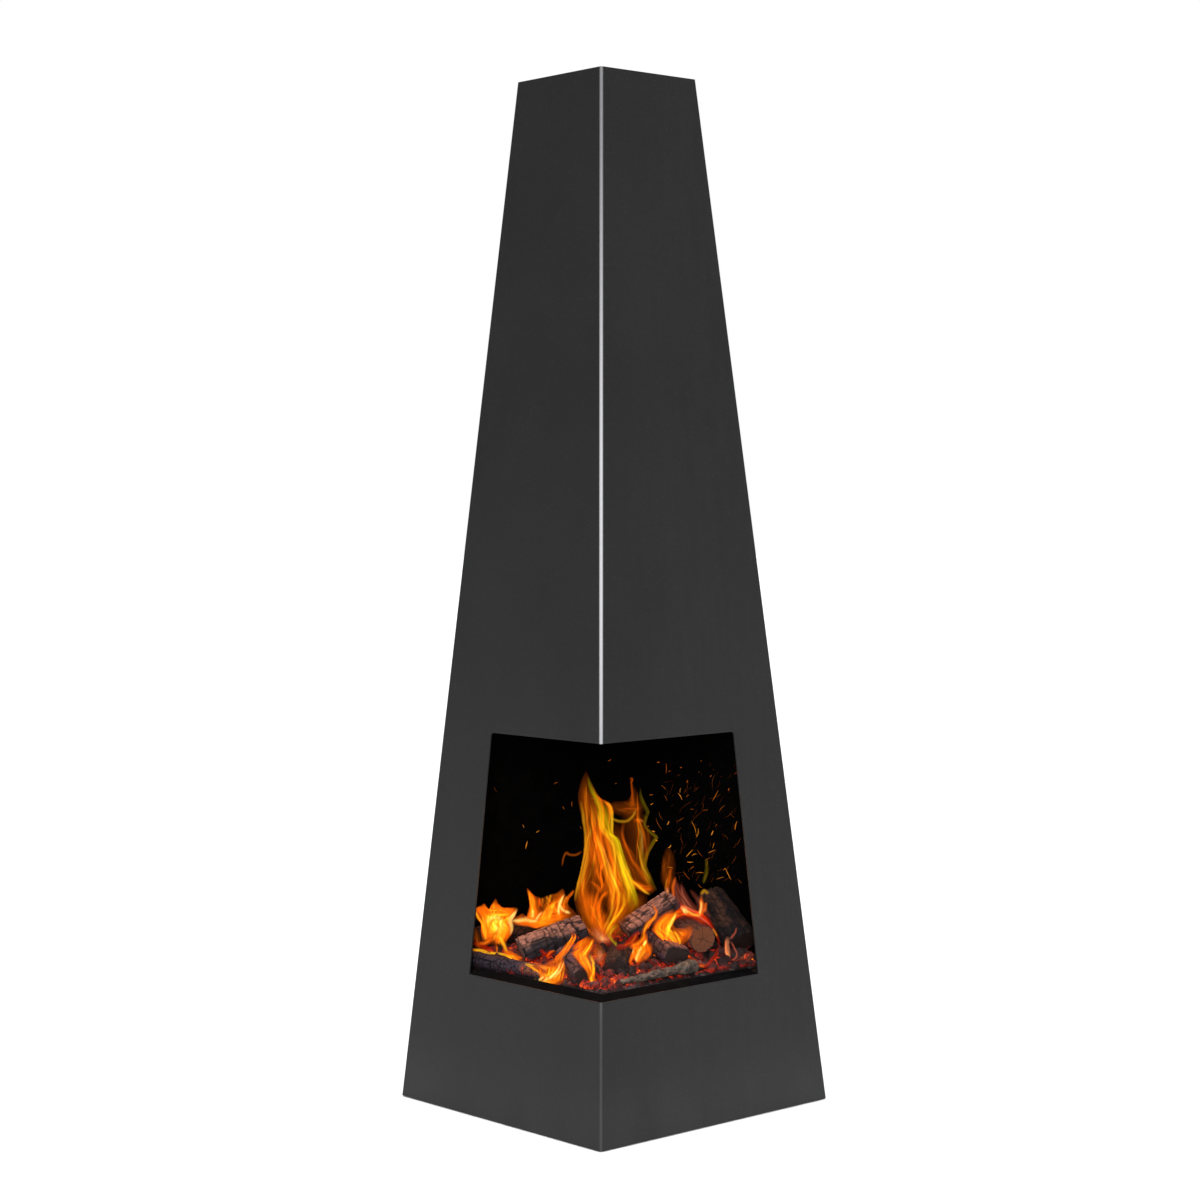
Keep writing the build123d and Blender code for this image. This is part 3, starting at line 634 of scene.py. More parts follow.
        f = fbm(kk, 500, seed + 60, 3)
        ringn = 0.5 + 0.5 * np.sin(rad_frac * 46 + 3 * fbm(kk, 120, seed + 61, 2))
        m = (cap - hub)
        sx, sy = m @ side, m @ top
        rim = smooth(0.80, 0.95, rad_frac + 0.10 * (f - 0.5))
        crack = np.zeros_like(f)
        if style == "round_cut" and end == 1:
            wob = (fbm(kk, 260, seed + 62, 2) - 0.5) * 0.0016
            for (dx, dy, reach) in ((0.10, 1.0, 1.0), (-0.75, -0.45, 0.75), (0.62, -0.70, 0.65), (0.95, 0.12, 0.45), (-0.95, 0.25, 0.4)):
                q = math.hypot(dx, dy)
                along_c = (sx * dx + sy * dy) / q
                off = abs((sx * dy - sy * dx) / q + wob)
                crack = np.maximum(crack, np.exp(-(off / 0.00030) ** 2) * (along_c > 0) * smooth(reach * 0.017, reach * 0.011, along_c))
            rim = smooth(0.93, 1.0, rad_frac + 0.05 * (f - 0.5))
            cc = lerp(np.array((0.070, 0.019, 0.006)), np.array((0.118, 0.036, 0.012)), (0.30 + 0.18 * ringn + 0.5 * (f - 0.3))[:, None])
            cc = lerp(cc, np.array((0.045, 0.020, 0.014)), (smooth(0.0, 1.0, 0.5 - sy / 0.032) * 0.35)[:, None])
            cc = lerp(cc, np.array((0.014, 0.008, 0.007)), rim[:, None])
            cc = cc * (1 - 0.60 * crack)[:, None]
            gl = 0.0 * f
        elif style == "branch":
            cc = lerp(np.array((0.030, 0.026, 0.024)), np.array((0.17, 0.12, 0.095)), (f * (0.5 + 0.5 * ringn))[:, None])
            gl = 0.0 * f
        else:
            saw = fbm(np.stack([sx * 3.0, sy * 0.4, 0 * sx + seed], 1), 420, seed + 63, 3)
            cc = lerp(np.array((0.060, 0.030, 0.022)), np.array((0.200, 0.092, 0.062)), (saw * (0.4 + 0.6 * f))[:, None])
            if style != "split":
                cc = cc * 0.12
            cc = lerp(cc, np.array((0.010, 0.007, 0.007)), rim[:, None])
            gl = 0.35 * smooth(0.6, 0.8, fbm(kk, 150, seed + 64, 2)) * rim
        push = (0.0006 * (f - 0.5) - 0.0009 * crack - 0.0004 * (1 - ringn)) * 1.0 - 0.0006 * rim
        cap = cap + sign * d * (push - 0.0003)[:, None]
        ids = (np.arange(cap.shape[0]) + base).reshape(rings - 1, nv)
        allr = np.vstack([ring[None], ids])
        nx = np.roll(allr, -1, 1)
        q = np.stack([allr[:-1], allr[1:], nx[1:], nx[:-1]], -1).reshape(-1, 4)
        if sign > 0:
            q = q[:, ::-1]
        centre = base + cap.shape[0]
        tri = np.stack([allr[-1], np.full(nv, centre), nx[-1]], -1)
        if sign > 0:
            tri = tri[:, ::-1]
        verts += [cap, (hub - sign * d * 0.0004)[None]]
        cols += [np.clip(cc, 0, 1), np.clip(cc[-1:], 0, 1)]
        glows += [gl, np.zeros(1)]
        faces += [q, tri]
        base = centre + 1
    m = {"bark": bark_mat, "branch": ash_mat}.get(style, char_mat)
    quads = np.concatenate([f for f in faces if f.shape[1] == 4])
    tris = np.concatenate([f for f in faces if f.shape[1] == 3])
    o = mesh_piece(node + "_burnt", np.concatenate(verts), [quads, tris], m, colour=np.concatenate(cols), glow=np.concatenate(glows))
    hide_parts(node)
    return o


LOGS = {"log_split_left": "split", "log_split_right": "split", "stick_front_left": "stick", "log_charred_left": "char",
        "log_charred_right": "char", "branch_ash_grey": "branch", "log_centre": "bark", "log_round_right": "round_cut",
        "log_leaning_right": "bark", "log_rear_left": "bark"}
for i, (node, style) in enumerate(sorted(LOGS.items())):
    log_piece(node, style, 3 + 2 * i)

# ---------------------------------------------------------------- embers and ash
BED_LO, BED_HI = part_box("ember_bed")
BED_R, BED_Z0, BED_Z1 = float(BED_HI[0]), float(BED_LO[2]), float(BED_HI[2])
FIRE = Vector(((BED_LO[0] + BED_HI[0]) / 2, (BED_LO[1] + BED_HI[1]) / 2, BED_Z1))


def mound(x, y):
    r = np.abs(x) + np.abs(y)
    return np.interp(r, [0, 0.058, 0.095, BED_R - 0.011, BED_R], [BED_Z1, BED_Z1, BED_Z1 - 0.002, BED_Z0 + 0.0077, BED_Z0 + 0.0012])


def ember_material(name):
    """Ash crust over live coals: grey and black crust, red to yellow heat in the gaps."""
    g = Graph(name)
    p = g.object_coords()
    col = g.attr("Col").outputs["Color"]
    heat = g.attr("Glow").outputs["Fac"]
    fine = g.noise(p, 420.0, 5.0, 0.7)
    mid = g.noise(p, 120.0, 3.0, 0.6, 0.8)
    base = g.mix(1.0, col, grey(g, g.math("MULTIPLY_ADD", fine, 1.0, 0.5)), "MULTIPLY")
    k = g.math("MULTIPLY", heat, g.span(g.math("MULTIPLY_ADD", fine, 0.5, g.math("MULTIPLY", mid, 0.7)), 0.42, 0.78, 0.12, 1.0))
    hot = g.ramp(k, ((0.0, (0.0, 0.0, 0.0)), (0.14, (0.05, 0.001, 0.0002)), (0.34, (0.36, 0.012, 0.0006)), (0.60, (0.95, 0.075, 0.002)), (0.84, (1.0, 0.22, 0.010)), (1.0, (1.0, 0.50, 0.08))))
    g.principled(Base_Color=base, Roughness=g.math("MULTIPLY_ADD", fine, 0.2, 0.78), Normal=g.bump(fine, 0.0008, 0.7),
                 Specular_IOR_Level=0.15, Emission_Color=hot, Emission_Strength=1.0)
    g.mat.cycles.emission_sampling = "NONE"
    return g.mat


ember_mat = ember_material("embers_and_ash")


def ember_ground():
    n = 210
    g1 = np.linspace(-1, 1, n)
    A, B = np.meshgrid(g1, g1, indexing="ij")
    x, y = (A + B).ravel() / 2 * BED_R, (A - B).ravel() / 2 * BED_R      # a square grid turned to the diamond
    p = np.stack([x, y, 0 * x], 1)
    big, fine = fbm(p, 60, 70, 3), fbm(p, 260, 71, 4)
    lump, ident = cells(x + 0.003 * fine, y + 0.003 * big, 0.011, 0.010, 72, 0.9)
    z = mound(x, y)
    r = np.abs(x) + np.abs(y)
    amp = smooth(BED_R, BED_R - 0.02, r)
    z = z + amp * (0.0040 * (big - 0.6) + 0.0022 * (smooth(0, 0.5, lump) - 0.6) + 0.0014 * (fine - 0.5))
    z = np.maximum(z, BED_Z0 + 0.0004)
    gap = np.exp(-(lump / 0.22) ** 2)
    col = lerp(np.array((0.010, 0.007, 0.007)), np.array((0.055, 0.045, 0.042)), (smooth(0.45, 0.75, fine) * smooth(0.35, 0.75, ident))[:, None])
    heat = np.clip(0.26 + 0.9 * gap + 0.7 * (smooth(0.35, 0.65, big) - 0.4), 0, 1) * smooth(BED_R, BED_R - 0.014, r)
    v = np.stack([x, y, z], 1)
    idx = np.arange(n * n).reshape(n, n)
    quads = np.stack([idx[:-1, :-1], idx[:-1, 1:], idx[1:, 1:], idx[1:, :-1]], -1).reshape(-1, 4)
    rim = np.concatenate([idx[0, :-1], idx[:-1, -1], idx[-1, :0:-1], idx[:0:-1, 0]])
    low = v[rim].copy()
    low[:, 2] = BED_Z0
    b = len(v) + np.arange(len(rim))
    wall = np.stack([rim, np.roll(rim, -1), np.roll(b, -1), b], -1)
    mid = len(v) + len(rim)
    floor = np.stack([b, np.roll(b, -1), np.full(len(rim), mid)], -1)
    V = np.vstack([v, low, [[0, 0, BED_Z0]]])
    C = np.vstack([col, np.tile((0.01, 0.009, 0.009), (len(rim) + 1, 1))])
    H = np.concatenate([heat, np.zeros(len(rim) + 1)])
    return mesh_piece("ember_ground", V, [quads, wall, floor], ember_mat, colour=C, glow=H)


def icosphere(level):
    bm = bmesh.new()
    bmesh.ops.create_icosphere(bm, subdivisions=level, radius=1.0)
    v = np.array([q.co[:] for q in bm.verts])
    f = np.array([[q.index for q in t.verts] for t in bm.faces])
    bm.free()
    return v, f


def coals():
    """Loose charcoal: cracked, flat-sided lumps scattered over the mound."""
    rng = np.random.default_rng(41)
    base, tri = icosphere(3)
    V, F, C, H = [], [], [], []
    at = 0
    spots = []
    tries = 0
    while len(spots) < 380 and tries < 9000:
        tries += 1
        a, b = rng.uniform(-1, 1, 2)
        x, y = (a + b) / 2 * (BED_R - 0.004), (a - b) / 2 * (BED_R - 0.004)
        if y > 0.06 and rng.random() < 0.5:
            continue
        size = rng.uniform(0.0032, 0.0075) if rng.random() < 0.72 else rng.uniform(0.0065, 0.0088)
        r = abs(x) + abs(y)
        if r + size > BED_R + 0.004:
            size = min(size, 0.0045)
        if any((x - q[0]) ** 2 + (y - q[1]) ** 2 < (0.62 * (size + q[2])) ** 2 for q in spots):
            continue
        spots.append((x, y, size))
    for i, (x, y, size) in enumerate(spots):
        q = rng.normal(size=3)
        R = np.linalg.qr(rng.normal(size=(3, 3)))[0]
        v = base.copy()
        for _ in range(7):                                       # flat broken sides
            nrm = rng.normal(size=3)
            nrm /= np.linalg.norm(nrm)
            lim = rng.uniform(0.50, 0.85)
            over = np.maximum(v @ nrm - lim, 0)
            v -= over[:, None] * nrm
        v *= np.array((1.25, 0.9, 0.72)) * (1 + 0.25 * rng.normal(size=3) * 0.5)
        v = v @ R.T
        f = fbm(v + i * 3.1, 2.2, 80, 3)
        g2 = fbm(v + i * 1.3, 6.0, 81, 2)
        v *= (0.86 + 0.26 * f + 0.08 * g2)[:, None]
        p = v * size
        zc = float(mound(np.array([x]), np.array([y]))[0])
        p = p + np.array((x, y, zc + size * 0.28))
        upness = v[:, 2] / (np.abs(v[:, 2]).max() + 1e-9)
        ashy = rng.random()
        c = lerp(np.array((0.007, 0.005, 0.006)), np.array((0.032, 0.018, 0.015)), g2[:, None])
        c = lerp(c, np.array((0.085, 0.070, 0.064)), (0.7 * smooth(0.50, 0.72, f) * smooth(-0.1, 0.8, upness) * (ashy > 0.70))[:, None])
        hot = (rng.random() < 0.62) * rng.uniform(0.30, 0.95) * (0.45 if x > 0.095 else 1.0)
        h = hot * (0.45 + 0.65 * smooth(0.35, -0.6, upness)) * smooth(0.33, 0.58, 1 - f + 0.15)
        V.append(p); F.append(tri + at); C.append(c); H.append(h)
        at += len(v)
    V = np.vstack(V)
    V[:, 2] = np.maximum(V[:, 2], BED_Z0 + 0.0003)
    r = np.abs(V[:, 0]) + np.abs(V[:, 1])
    k = np.minimum(1, (BED_R + 0.006) / r)
    V[:, 0] *= k
    V[:, 1] *= k
    return mesh_piece("loose_coals", V, [np.vstack(F)], ember_mat, colour=np.vstack(C), glow=np.clip(np.concatenate(H), 0, 1), flat=False)


ground = ember_ground()
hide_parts("ember_bed")
lumps = coals()
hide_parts("ember_bed")

# ---------------------------------------------------------------- flames
# Each flame is a thin closed body that follows the listed tongues. A tongue is
# (hue, strength, [(along, up, half width), ...]) in mm from the top of the ember
# bed, on an upright plane; "M" starts an outline that trims what follows it.
FLAMES = (
    ("flame_tall", 0, 0, -84, (
        ("M", 1.47, [(-21.6, 199.6), (-17.5, 191.1), (-13.3, 180.6), (-8.1, 171.1), (-0.8, 166.8), (4.5, 163.7), (7.6, 155.2), (7.5, 144.6), (6.9, 132.0), (12.7, 126.7), (15.8, 117.2), (18.9, 106.6), (23.0, 96.0), (26.1, 85.4), (29.2, 74.9), (32.3, 64.3), (34.3, 55.8), (30.1, 47.3), (21.6, 40.9), (13.1, 34.5), (6.7, 26.0), (9.8, 13.3), (2.4, 14.3), (-4.9, 15.4), (-12.3, 21.7), (-16.5, 30.2), (-22.8, 36.5), (-28.0, 46.1), (-34.3, 56.7), (-35.3, 65.2), (-33.1, 74.7), (-29.8, 85.3), (-26.6, 98.0), (-24.4, 112.9), (-23.7, 127.7), (-25.7, 144.6), (-29.3, 161.5), (-30.3, 174.2), (-27.0, 189.0)]),
        ("b", 0.5, [(-20.6, 197.5, 2.11), (-22.8, 180.6, 5.28), (-20.8, 161.5, 9.51), (-15.7, 140.4, 11.63), (-15.9, 117.1, 12.7), (-18.1, 93.8, 13.78), (-21.5, 72.6, 12.73), (-18.4, 53.5, 11.68), (-11.2, 34.5, 6.38)]),
        ("b", 0.55, [(-15.5, 173.2, 4.22), (-7.2, 155.2, 9.51), (-4.2, 134.1, 10.57), (-0.1, 115.0, 12.7), (5.1, 93.9, 14.83), (9.1, 72.7, 16.97), (10.1, 53.6, 13.8), (2.6, 32.4, 8.5)]),
        ("o", 0.62, [(-18.4, 62.0, 8.49), (-11.1, 45.1, 9.56), (-3.8, 28.1, 6.38)]),
        ("b", 0.6, [(11.2, 62.1, 9.55), (6.9, 45.1, 9.56), (1.5, 30.3, 6.38)]),
        ("F", 30, 0.55, [(-20.6, 194.3), (-25.1, 157.3), (-23.2, 120.3), (-30.9, 83.2), (-26.9, 56.7), (-16.5, 30.2)], [(-18.5, 194.3), (5.5, 161.6), (6.4, 130.9), (20.9, 93.9), (31.2, 62.1), (-1.7, 21.8)], "oooyyb"),
        ("o", 0.4, [(-13.6, 136.2, 5.29), (-13.8, 115.0, 8.47), (-18.2, 91.7, 9.54), (-24.6, 70.5, 8.49), (-19.5, 53.5, 6.37)]),
        ("o", 0.62, [(-7.3, 144.6, 4.23), (-1.1, 123.5, 7.4), (4.1, 102.3, 9.53), (8.2, 83.3, 12.72), (11.2, 66.3, 12.73), (10.1, 53.6, 7.43)]),
        ("g", 0.4, [(-2.9, 163.7, 5.28), (-0.9, 151.0, 6.34), (6.4, 129.8, 5.29), (13.6, 108.7, 7.41), (19.8, 87.5, 8.47), (24.9, 68.5, 8.48), (27.0, 55.8, 5.31)]),
        ("y", 0.55, [(-27.1, 165.8, 1.06), (-24.6, 146.7, 1.48), (-22.9, 127.7, 1.69), (-23.5, 112.9, 1.91), (-26.6, 98.0, 2.12), (-29.8, 85.3, 2.12), (-32.6, 72.6, 1.7), (-34.2, 62.0, 1.06)]),
        ("g", 0.62, [(-19.6, 191.1, 1.05), (-15.5, 179.5, 1.9), (-11.3, 170.0, 2.32), (-7.2, 159.4, 2.96), (-6.2, 148.9, 3.17), (-3.1, 138.3, 2.54), (2.2, 132.0, 2.11), (8.4, 127.7, 2.11), (12.1, 119.3, 2.54), (14.1, 106.6, 3.39), (17.7, 91.8, 4.02), (22.9, 79.1, 4.03), (27.0, 68.5, 3.39), (31.2, 56.9, 1.91)]),
        ("y", 0.4, [(12.6, 115.0, 2.12), (15.7, 102.3, 3.18), (20.8, 85.4, 4.24), (26.0, 70.6, 3.18)]),
        ("y", 0.8, [(-8.2, 155.2, 1.48), (-7.3, 144.6, 2.11), (-4.2, 135.1, 1.9), (2.1, 127.7, 1.69), (6.3, 119.3, 1.37), (7.9, 106.6, 1.27), (8.0, 91.7, 1.38), (7.4, 74.8, 1.48), (5.9, 62.1, 1.49), (3.7, 49.4, 1.27), (-0.6, 38.7, 1.28), (-5.9, 28.1, 1.06)]),
        ("y", 0.6, [(-11.5, 134.1, 1.27), (-8.5, 123.5, 1.59), (-4.3, 112.9, 1.9), (-1.2, 102.3, 2.12), (1.9, 91.7, 2.44), (6.1, 83.3, 2.76), (10.2, 72.7, 3.18)]),
        ("y", 0.35, [(-16.6, 161.5, 2.11), (-15.1, 148.9, 2.64), (-16.8, 136.2, 2.33), (-20.1, 123.5, 2.12), (-21.2, 109.7, 1.91), (-23.4, 95.9, 1.91), (-25.6, 83.2, 1.91), (-25.7, 67.3, 1.7)]),
        ("y", 0.55, [(0.3, 166.8, 1.27), (4.4, 159.4, 1.48), (5.4, 148.9, 1.48), (5.9, 138.3, 1.48), (7.4, 129.8, 1.27)]),
        ("o", 0.55, [(-10.2, 172.1, 1.69), (-3.9, 167.9, 1.69), (2.4, 163.7, 1.9), (5.5, 157.3, 1.9), (4.4, 151.0, 1.27)]),
        ("o", 0.7, [(-1.2, 104.4, 1.06), (-5.5, 96.0, 1.27), (-7.1, 87.5, 1.48), (-4.5, 79.0, 1.59), (-7.7, 72.6, 1.7), (-11.0, 65.2, 1.49), (-13.1, 56.7, 1.38), (-15.3, 46.1, 1.49), (-16.4, 35.5, 1.06)]),
        ("o", 0.7, [(-18.2, 82.2, 0.85), (-14.0, 79.0, 1.27), (-9.8, 74.8, 1.7), (-6.7, 70.5, 1.7)]),
        ("o", 0.75, [(0.7, 70.5, 1.48), (-4.6, 66.3, 1.59), (-8.4, 58.9, 1.7), (-9.5, 49.3, 1.59), (-7.9, 40.8, 1.38), (-4.8, 32.4, 1.17)]),
        ("g", 0.6, [(14.4, 69.5, 1.91), (17.5, 62.1, 1.91), (16.4, 54.7, 1.49), (12.2, 47.3, 1.38), (6.8, 40.9, 1.38), (1.5, 34.5, 1.28), (-1.7, 26.0, 1.06)]),
        ("g", 0.4, [(10.0, 34.5, 1.91), (4.7, 32.4, 2.34), (1.5, 24.9, 1.91), (5.6, 18.6, 1.28), (8.8, 14.4, 1.06)]),
        ("g", 0.5, [(12.0, 31.3, 0.85), (10.4, 25.0, 1.06), (9.3, 17.5, 1.06), (8.8, 13.3, 0.74)]),
        ("x", 0.75, [(-6.0, 96.0, 0.95), (-4.5, 87.5, 1.27), (-3.5, 79.0, 0.85)]),
        ("x", 0.6, [(-1.5, 65.2, 3.18), (-2.6, 56.8, 4.46), (-1.6, 47.2, 3.4)]),
        ("x", 0.6, [(-16.0, 102.3, 3.18), (-18.2, 85.3, 4.88), (-17.3, 68.4, 4.24)]),
        ("x", 0.5, [(-3.6, 55.7, 2.12), (0.5, 47.2, 2.76), (-1.6, 38.7, 2.13)]),
        ("x", 0.45, [(-11.6, 119.2, 1.69), (-10.7, 106.5, 2.33), (-11.8, 93.8, 1.7)]),
        ("x", 0.4, [(15.5, 79.1, 2.76), (17.5, 66.3, 3.18), (13.2, 53.6, 2.55)]),
        ("x", 0.35, [(-2.0, 140.4, 2.11), (-3.2, 123.5, 2.12), (2.0, 108.7, 1.69)]),
        ("k", 0.35, [(-11.2, 26.0, 2.13), (-6.0, 21.7, 3.19), (-1.8, 19.6, 2.13)]),
        ("w", 0.22, [(-7.5, 22.8, 1.38), (-5.4, 20.1, 1.6)]),
    )),
    ("flame_second", 0, 0, -58, (
        ("M", 1.89, [(22.4, 190.3), (29.8, 188.2), (35.1, 179.7), (39.2, 162.6), (43.4, 152.0), (41.2, 144.5), (40.1, 137.0), (46.5, 130.6), (53.9, 124.2), (49.6, 116.8), (44.2, 109.3), (41.0, 100.7), (40.9, 93.3), (45.1, 83.6), (49.3, 74.0), (53.5, 66.6), (43.9, 61.2), (33.3, 65.4), (24.9, 75.0), (14.4, 111.4), (3.9, 126.3), (2.0, 164.7), (12.6, 163.7), (23.3, 167.9), (24.4, 177.5)]),
        ("F", 12, 0.4, [(25.5, 183.9), (16.8, 141.3), (20.8, 109.2), (41.9, 70.8)], [(35.1, 181.8), (41.3, 148.8), (49.6, 124.2), (39.9, 98.6), (50.3, 68.7)], "oobby"),
        ("b", 0.26, [(26.6, 179.7, 2.13), (27.5, 162.6, 5.33), (27.4, 145.5, 9.59), (31.6, 128.5, 12.8), (33.6, 111.4, 11.75), (33.5, 94.3, 9.62), (37.7, 79.4, 8.56), (42.9, 68.7, 7.49)]),
        ("b", 0.3, [(3.0, 158.3, 3.2), (13.7, 156.2, 6.39), (25.4, 156.2, 6.39), (33.9, 158.3, 4.26)]),
        ("b", 0.26, [(8.2, 137.0, 5.33), (11.3, 119.9, 5.34), (19.7, 102.8, 7.48), (27.1, 87.9, 8.55), (33.4, 75.1, 8.56)]),
        ("y", 0.28, [(1.9, 147.7, 1.07), (6.1, 143.9, 1.28), (13.6, 141.8, 1.39), (21.0, 142.9, 1.28), (26.4, 147.7, 1.28), (29.6, 155.1, 1.07)]),
        ("o", 0.28, [(22.4, 187.1, 1.28), (25.5, 187.1, 1.49), (24.5, 181.8, 1.28), (25.4, 170.1, 1.7), (25.4, 158.3, 2.56)]),
        ("g", 0.14, [(34.0, 179.7, 1.06), (35.0, 169.0, 1.7), (39.2, 159.4, 2.13), (42.3, 152.0, 2.34), (40.2, 145.6, 1.71), (39.1, 138.1, 1.71), (44.3, 131.7, 1.71), (50.7, 125.3, 1.71), (47.5, 118.9, 1.71), (43.2, 111.4, 1.71), (39.9, 102.9, 1.92), (39.3, 94.3, 2.14), (43.0, 84.7, 2.14), (47.2, 75.1, 2.14), (51.4, 68.7, 1.5)]),
        ("y", 0.3, [(30.6, 140.2, 1.28), (33.7, 128.5, 1.6), (34.7, 116.7, 1.92), (35.7, 105.0, 2.14), (37.2, 94.3, 2.35), (40.3, 83.6, 2.57), (44.0, 73.0, 2.14)]),
        ("o", 0.26, [(16.8, 141.3, 1.49), (14.6, 130.6, 1.6), (16.6, 119.9, 1.6), (20.8, 109.2, 1.71), (26.1, 98.6, 1.92), (32.4, 90.0, 2.14), (38.7, 79.4, 2.35), (44.0, 71.9, 2.14)]),
        ("o", 0.6, [(18.5, 81.4, 2.14), (27.0, 76.1, 3.0), (37.6, 70.8, 3.42), (46.1, 69.8, 3.21)]),
        ("y", 0.7, [(21.7, 80.4, 0.96), (29.1, 75.1, 1.18), (36.5, 68.7, 1.18), (42.9, 64.4, 0.96)]),
        ("o", 0.45, [(29.5, 143.4, 2.13), (34.8, 142.3, 2.35)]),
        ("x", 0.55, [(42.3, 147.7, 0.85), (36.0, 151.9, 1.6)]),
        ("M", 0.0, []),
        ("b", 0.45, [(-28.2, 109.2, 1.18), (-34.6, 105.9, 1.07), (-41.0, 105.9, 1.18), (-45.3, 107.5, 1.28), (-48.0, 102.7, 1.07), (-49.6, 94.1, 0.86)]),
    )),
    ("flame_left", 0, 0, -24, (
        ("M", 1.37, [(-147.9, 34.6), (-145.7, 42.2), (-140.2, 45.5), (-137.0, 47.7), (-133.7, 43.3), (-130.5, 42.3), (-127.2, 48.8), (-123.9, 54.2), (-120.7, 47.7), (-116.4, 43.4), (-108.8, 43.4), (-99.0, 42.3), (-103.4, 34.7), (-106.7, 29.3), (-105.7, 23.8), (-106.8, 16.2), (-110.1, 10.8), (-113.4, 5.3), (-112.4, -3.4), (-110.3, -8.8), (-114.6, -7.7), (-118.9, 2.0), (-123.2, 5.3), (-122.2, -4.5), (-125.5, -5.6), (-127.6, 3.1), (-137.4, 3.1), (-142.8, 5.2), (-139.5, 8.5), (-140.5, 19.4), (-140.4, 27.0), (-144.7, 31.3)]),
        ("o", 0.95, [(-141.3, 43.3, 5.45), (-130.5, 36.8, 8.72), (-117.5, 36.9, 9.81), (-106.7, 36.9, 6.54)]),
        ("o", 1.0, [(-135.0, 28.1, 7.64), (-128.5, 21.6, 9.82), (-119.8, 19.4, 10.91), (-115.6, 10.8, 7.64)]),
        ("y", 0.65, [(-132.8, 32.5, 4.36), (-124.1, 28.1, 7.63), (-119.8, 19.4, 6.55), (-124.2, 12.9, 4.37)]),
        ("F", 22, 0.55, [(-141.3, 45.5), (-139.3, 30.3), (-137.2, 17.2), (-137.3, 4.2)], [(-100.1, 41.3), (-106.7, 28.2), (-109.0, 17.3), (-115.6, 4.2)], "ooooyrb"),
        ("o", 0.95, [(-144.6, 46.6, 2.4), (-141.4, 39.0, 4.91), (-137.1, 28.1, 6.0), (-134.0, 17.2, 6.55), (-134.0, 8.5, 3.82)]),
        ("o", 1.0, [(-125.0, 53.1, 1.31), (-125.0, 45.5, 3.7), (-124.0, 35.7, 7.63), (-123.1, 23.8, 9.82), (-123.1, 12.9, 7.64)]),
        ("o", 0.95, [(-102.3, 41.2, 2.18), (-109.9, 38.0, 5.01), (-114.3, 29.3, 6.54), (-114.4, 18.4, 6.54), (-115.6, 8.6, 3.27)]),
        ("o", 0.8, [(-137.0, 47.7, 1.74), (-131.6, 42.3, 4.36), (-119.6, 42.3, 4.36), (-108.8, 41.2, 3.27)]),
        ("y", 0.75, [(-129.5, 36.8, 3.27), (-127.4, 28.1, 6.0), (-125.3, 17.3, 5.46)]),
        ("w", 0.5, [(-135.0, 28.1, 1.53), (-129.5, 32.5, 2.18), (-123.0, 33.6, 2.4), (-118.7, 28.2, 2.4), (-116.6, 20.5, 1.53)]),
        ("y", 0.55, [(-136.1, 19.4, 2.18), (-135.1, 10.7, 1.75)]),
        ("w", 1.0, [(-101.2, 41.3, 0.76), (-105.6, 34.7, 1.63), (-109.5, 29.3, 2.07), (-107.3, 22.8, 1.64), (-108.5, 15.1, 1.09)]),
        ("y", 0.7, [(-146.8, 40.0, 1.09), (-143.6, 33.5, 1.09), (-139.3, 27.0, 1.09), (-137.2, 19.4, 1.09)]),
        ("o", 0.9, [(-142.8, 6.3, 1.75), (-137.3, 5.2, 1.86), (-130.8, 8.0, 1.75), (-126.4, 10.7, 1.09)]),
        ("y", 0.85, [(-119.9, 12.9, 1.53), (-116.7, 5.3, 1.42), (-114.6, -1.2, 1.31), (-112.4, -5.6, 0.98)]),
        ("o", 0.75, [(-123.2, 10.7, 1.96), (-122.2, 2.0, 1.97), (-123.3, -5.6, 1.09)]),
        ("o", 0.6, [(-108.1, 56.4, 0.65), (-111.4, 51.0, 0.98), (-113.1, 45.6, 0.87)]),
        ("x", 0.35, [(-143.6, 39.0, 1.31), (-140.4, 30.3, 1.75)]),
        ("M", 1.47, [(-107.8, 29.3), (-105.6, 33.6), (-99.1, 34.7), (-94.8, 36.9), (-90.4, 33.7), (-88.2, 41.3), (-87.1, 48.9), (-90.2, 59.7), (-90.2, 65.2), (-85.9, 59.8), (-80.5, 55.4), (-75.1, 53.3), (-69.7, 55.5), (-63.2, 57.6), (-57.8, 59.8), (-52.3, 64.2), (-49.1, 58.8), (-45.9, 56.6), (-40.4, 64.2), (-38.3, 61.0), (-43.7, 54.4), (-45.9, 49.0), (-41.7, 43.6), (-38.5, 38.2), (-33.1, 30.6), (-45.0, 28.4), (-54.8, 27.3), (-64.5, 25.1), (-71.0, 21.8), (-76.5, 19.6), (-81.9, 21.7), (-90.5, 23.9), (-99.2, 25.0), (-105.7, 26.0)]),
        ("o", 0.8, [(-102.4, 30.4, 4.36), (-90.5, 31.5, 6.53), (-76.4, 31.5, 9.8), (-60.1, 33.8, 9.79), (-46.0, 37.1, 8.7)]),
        ("o", 0.85, [(-87.0, 60.8, 2.17), (-83.8, 51.1, 4.35), (-82.8, 40.2, 5.44), (-82.9, 30.4, 5.44)]),
        ("o", 0.7, [(-50.2, 58.8, 3.26), (-58.9, 50.1, 6.52), (-66.6, 41.4, 6.53), (-71.0, 30.5, 6.53)]),
        ("F", 26, 0.6, [(-89.1, 63.0), (-86.0, 48.9), (-92.6, 35.8), (-102.4, 28.2)], [(-40.4, 62.0), (-48.1, 52.3), (-43.9, 39.2), (-46.1, 28.4)], "ooooyrb"),
        ("x", 0.65, [(-70.8, 52.2, 3.26), (-70.9, 44.6, 3.7), (-75.2, 39.2, 2.18)]),
        ("x", 0.65, [(-58.9, 55.5, 3.26), (-62.2, 51.1, 3.26), (-64.4, 46.8, 1.74)]),
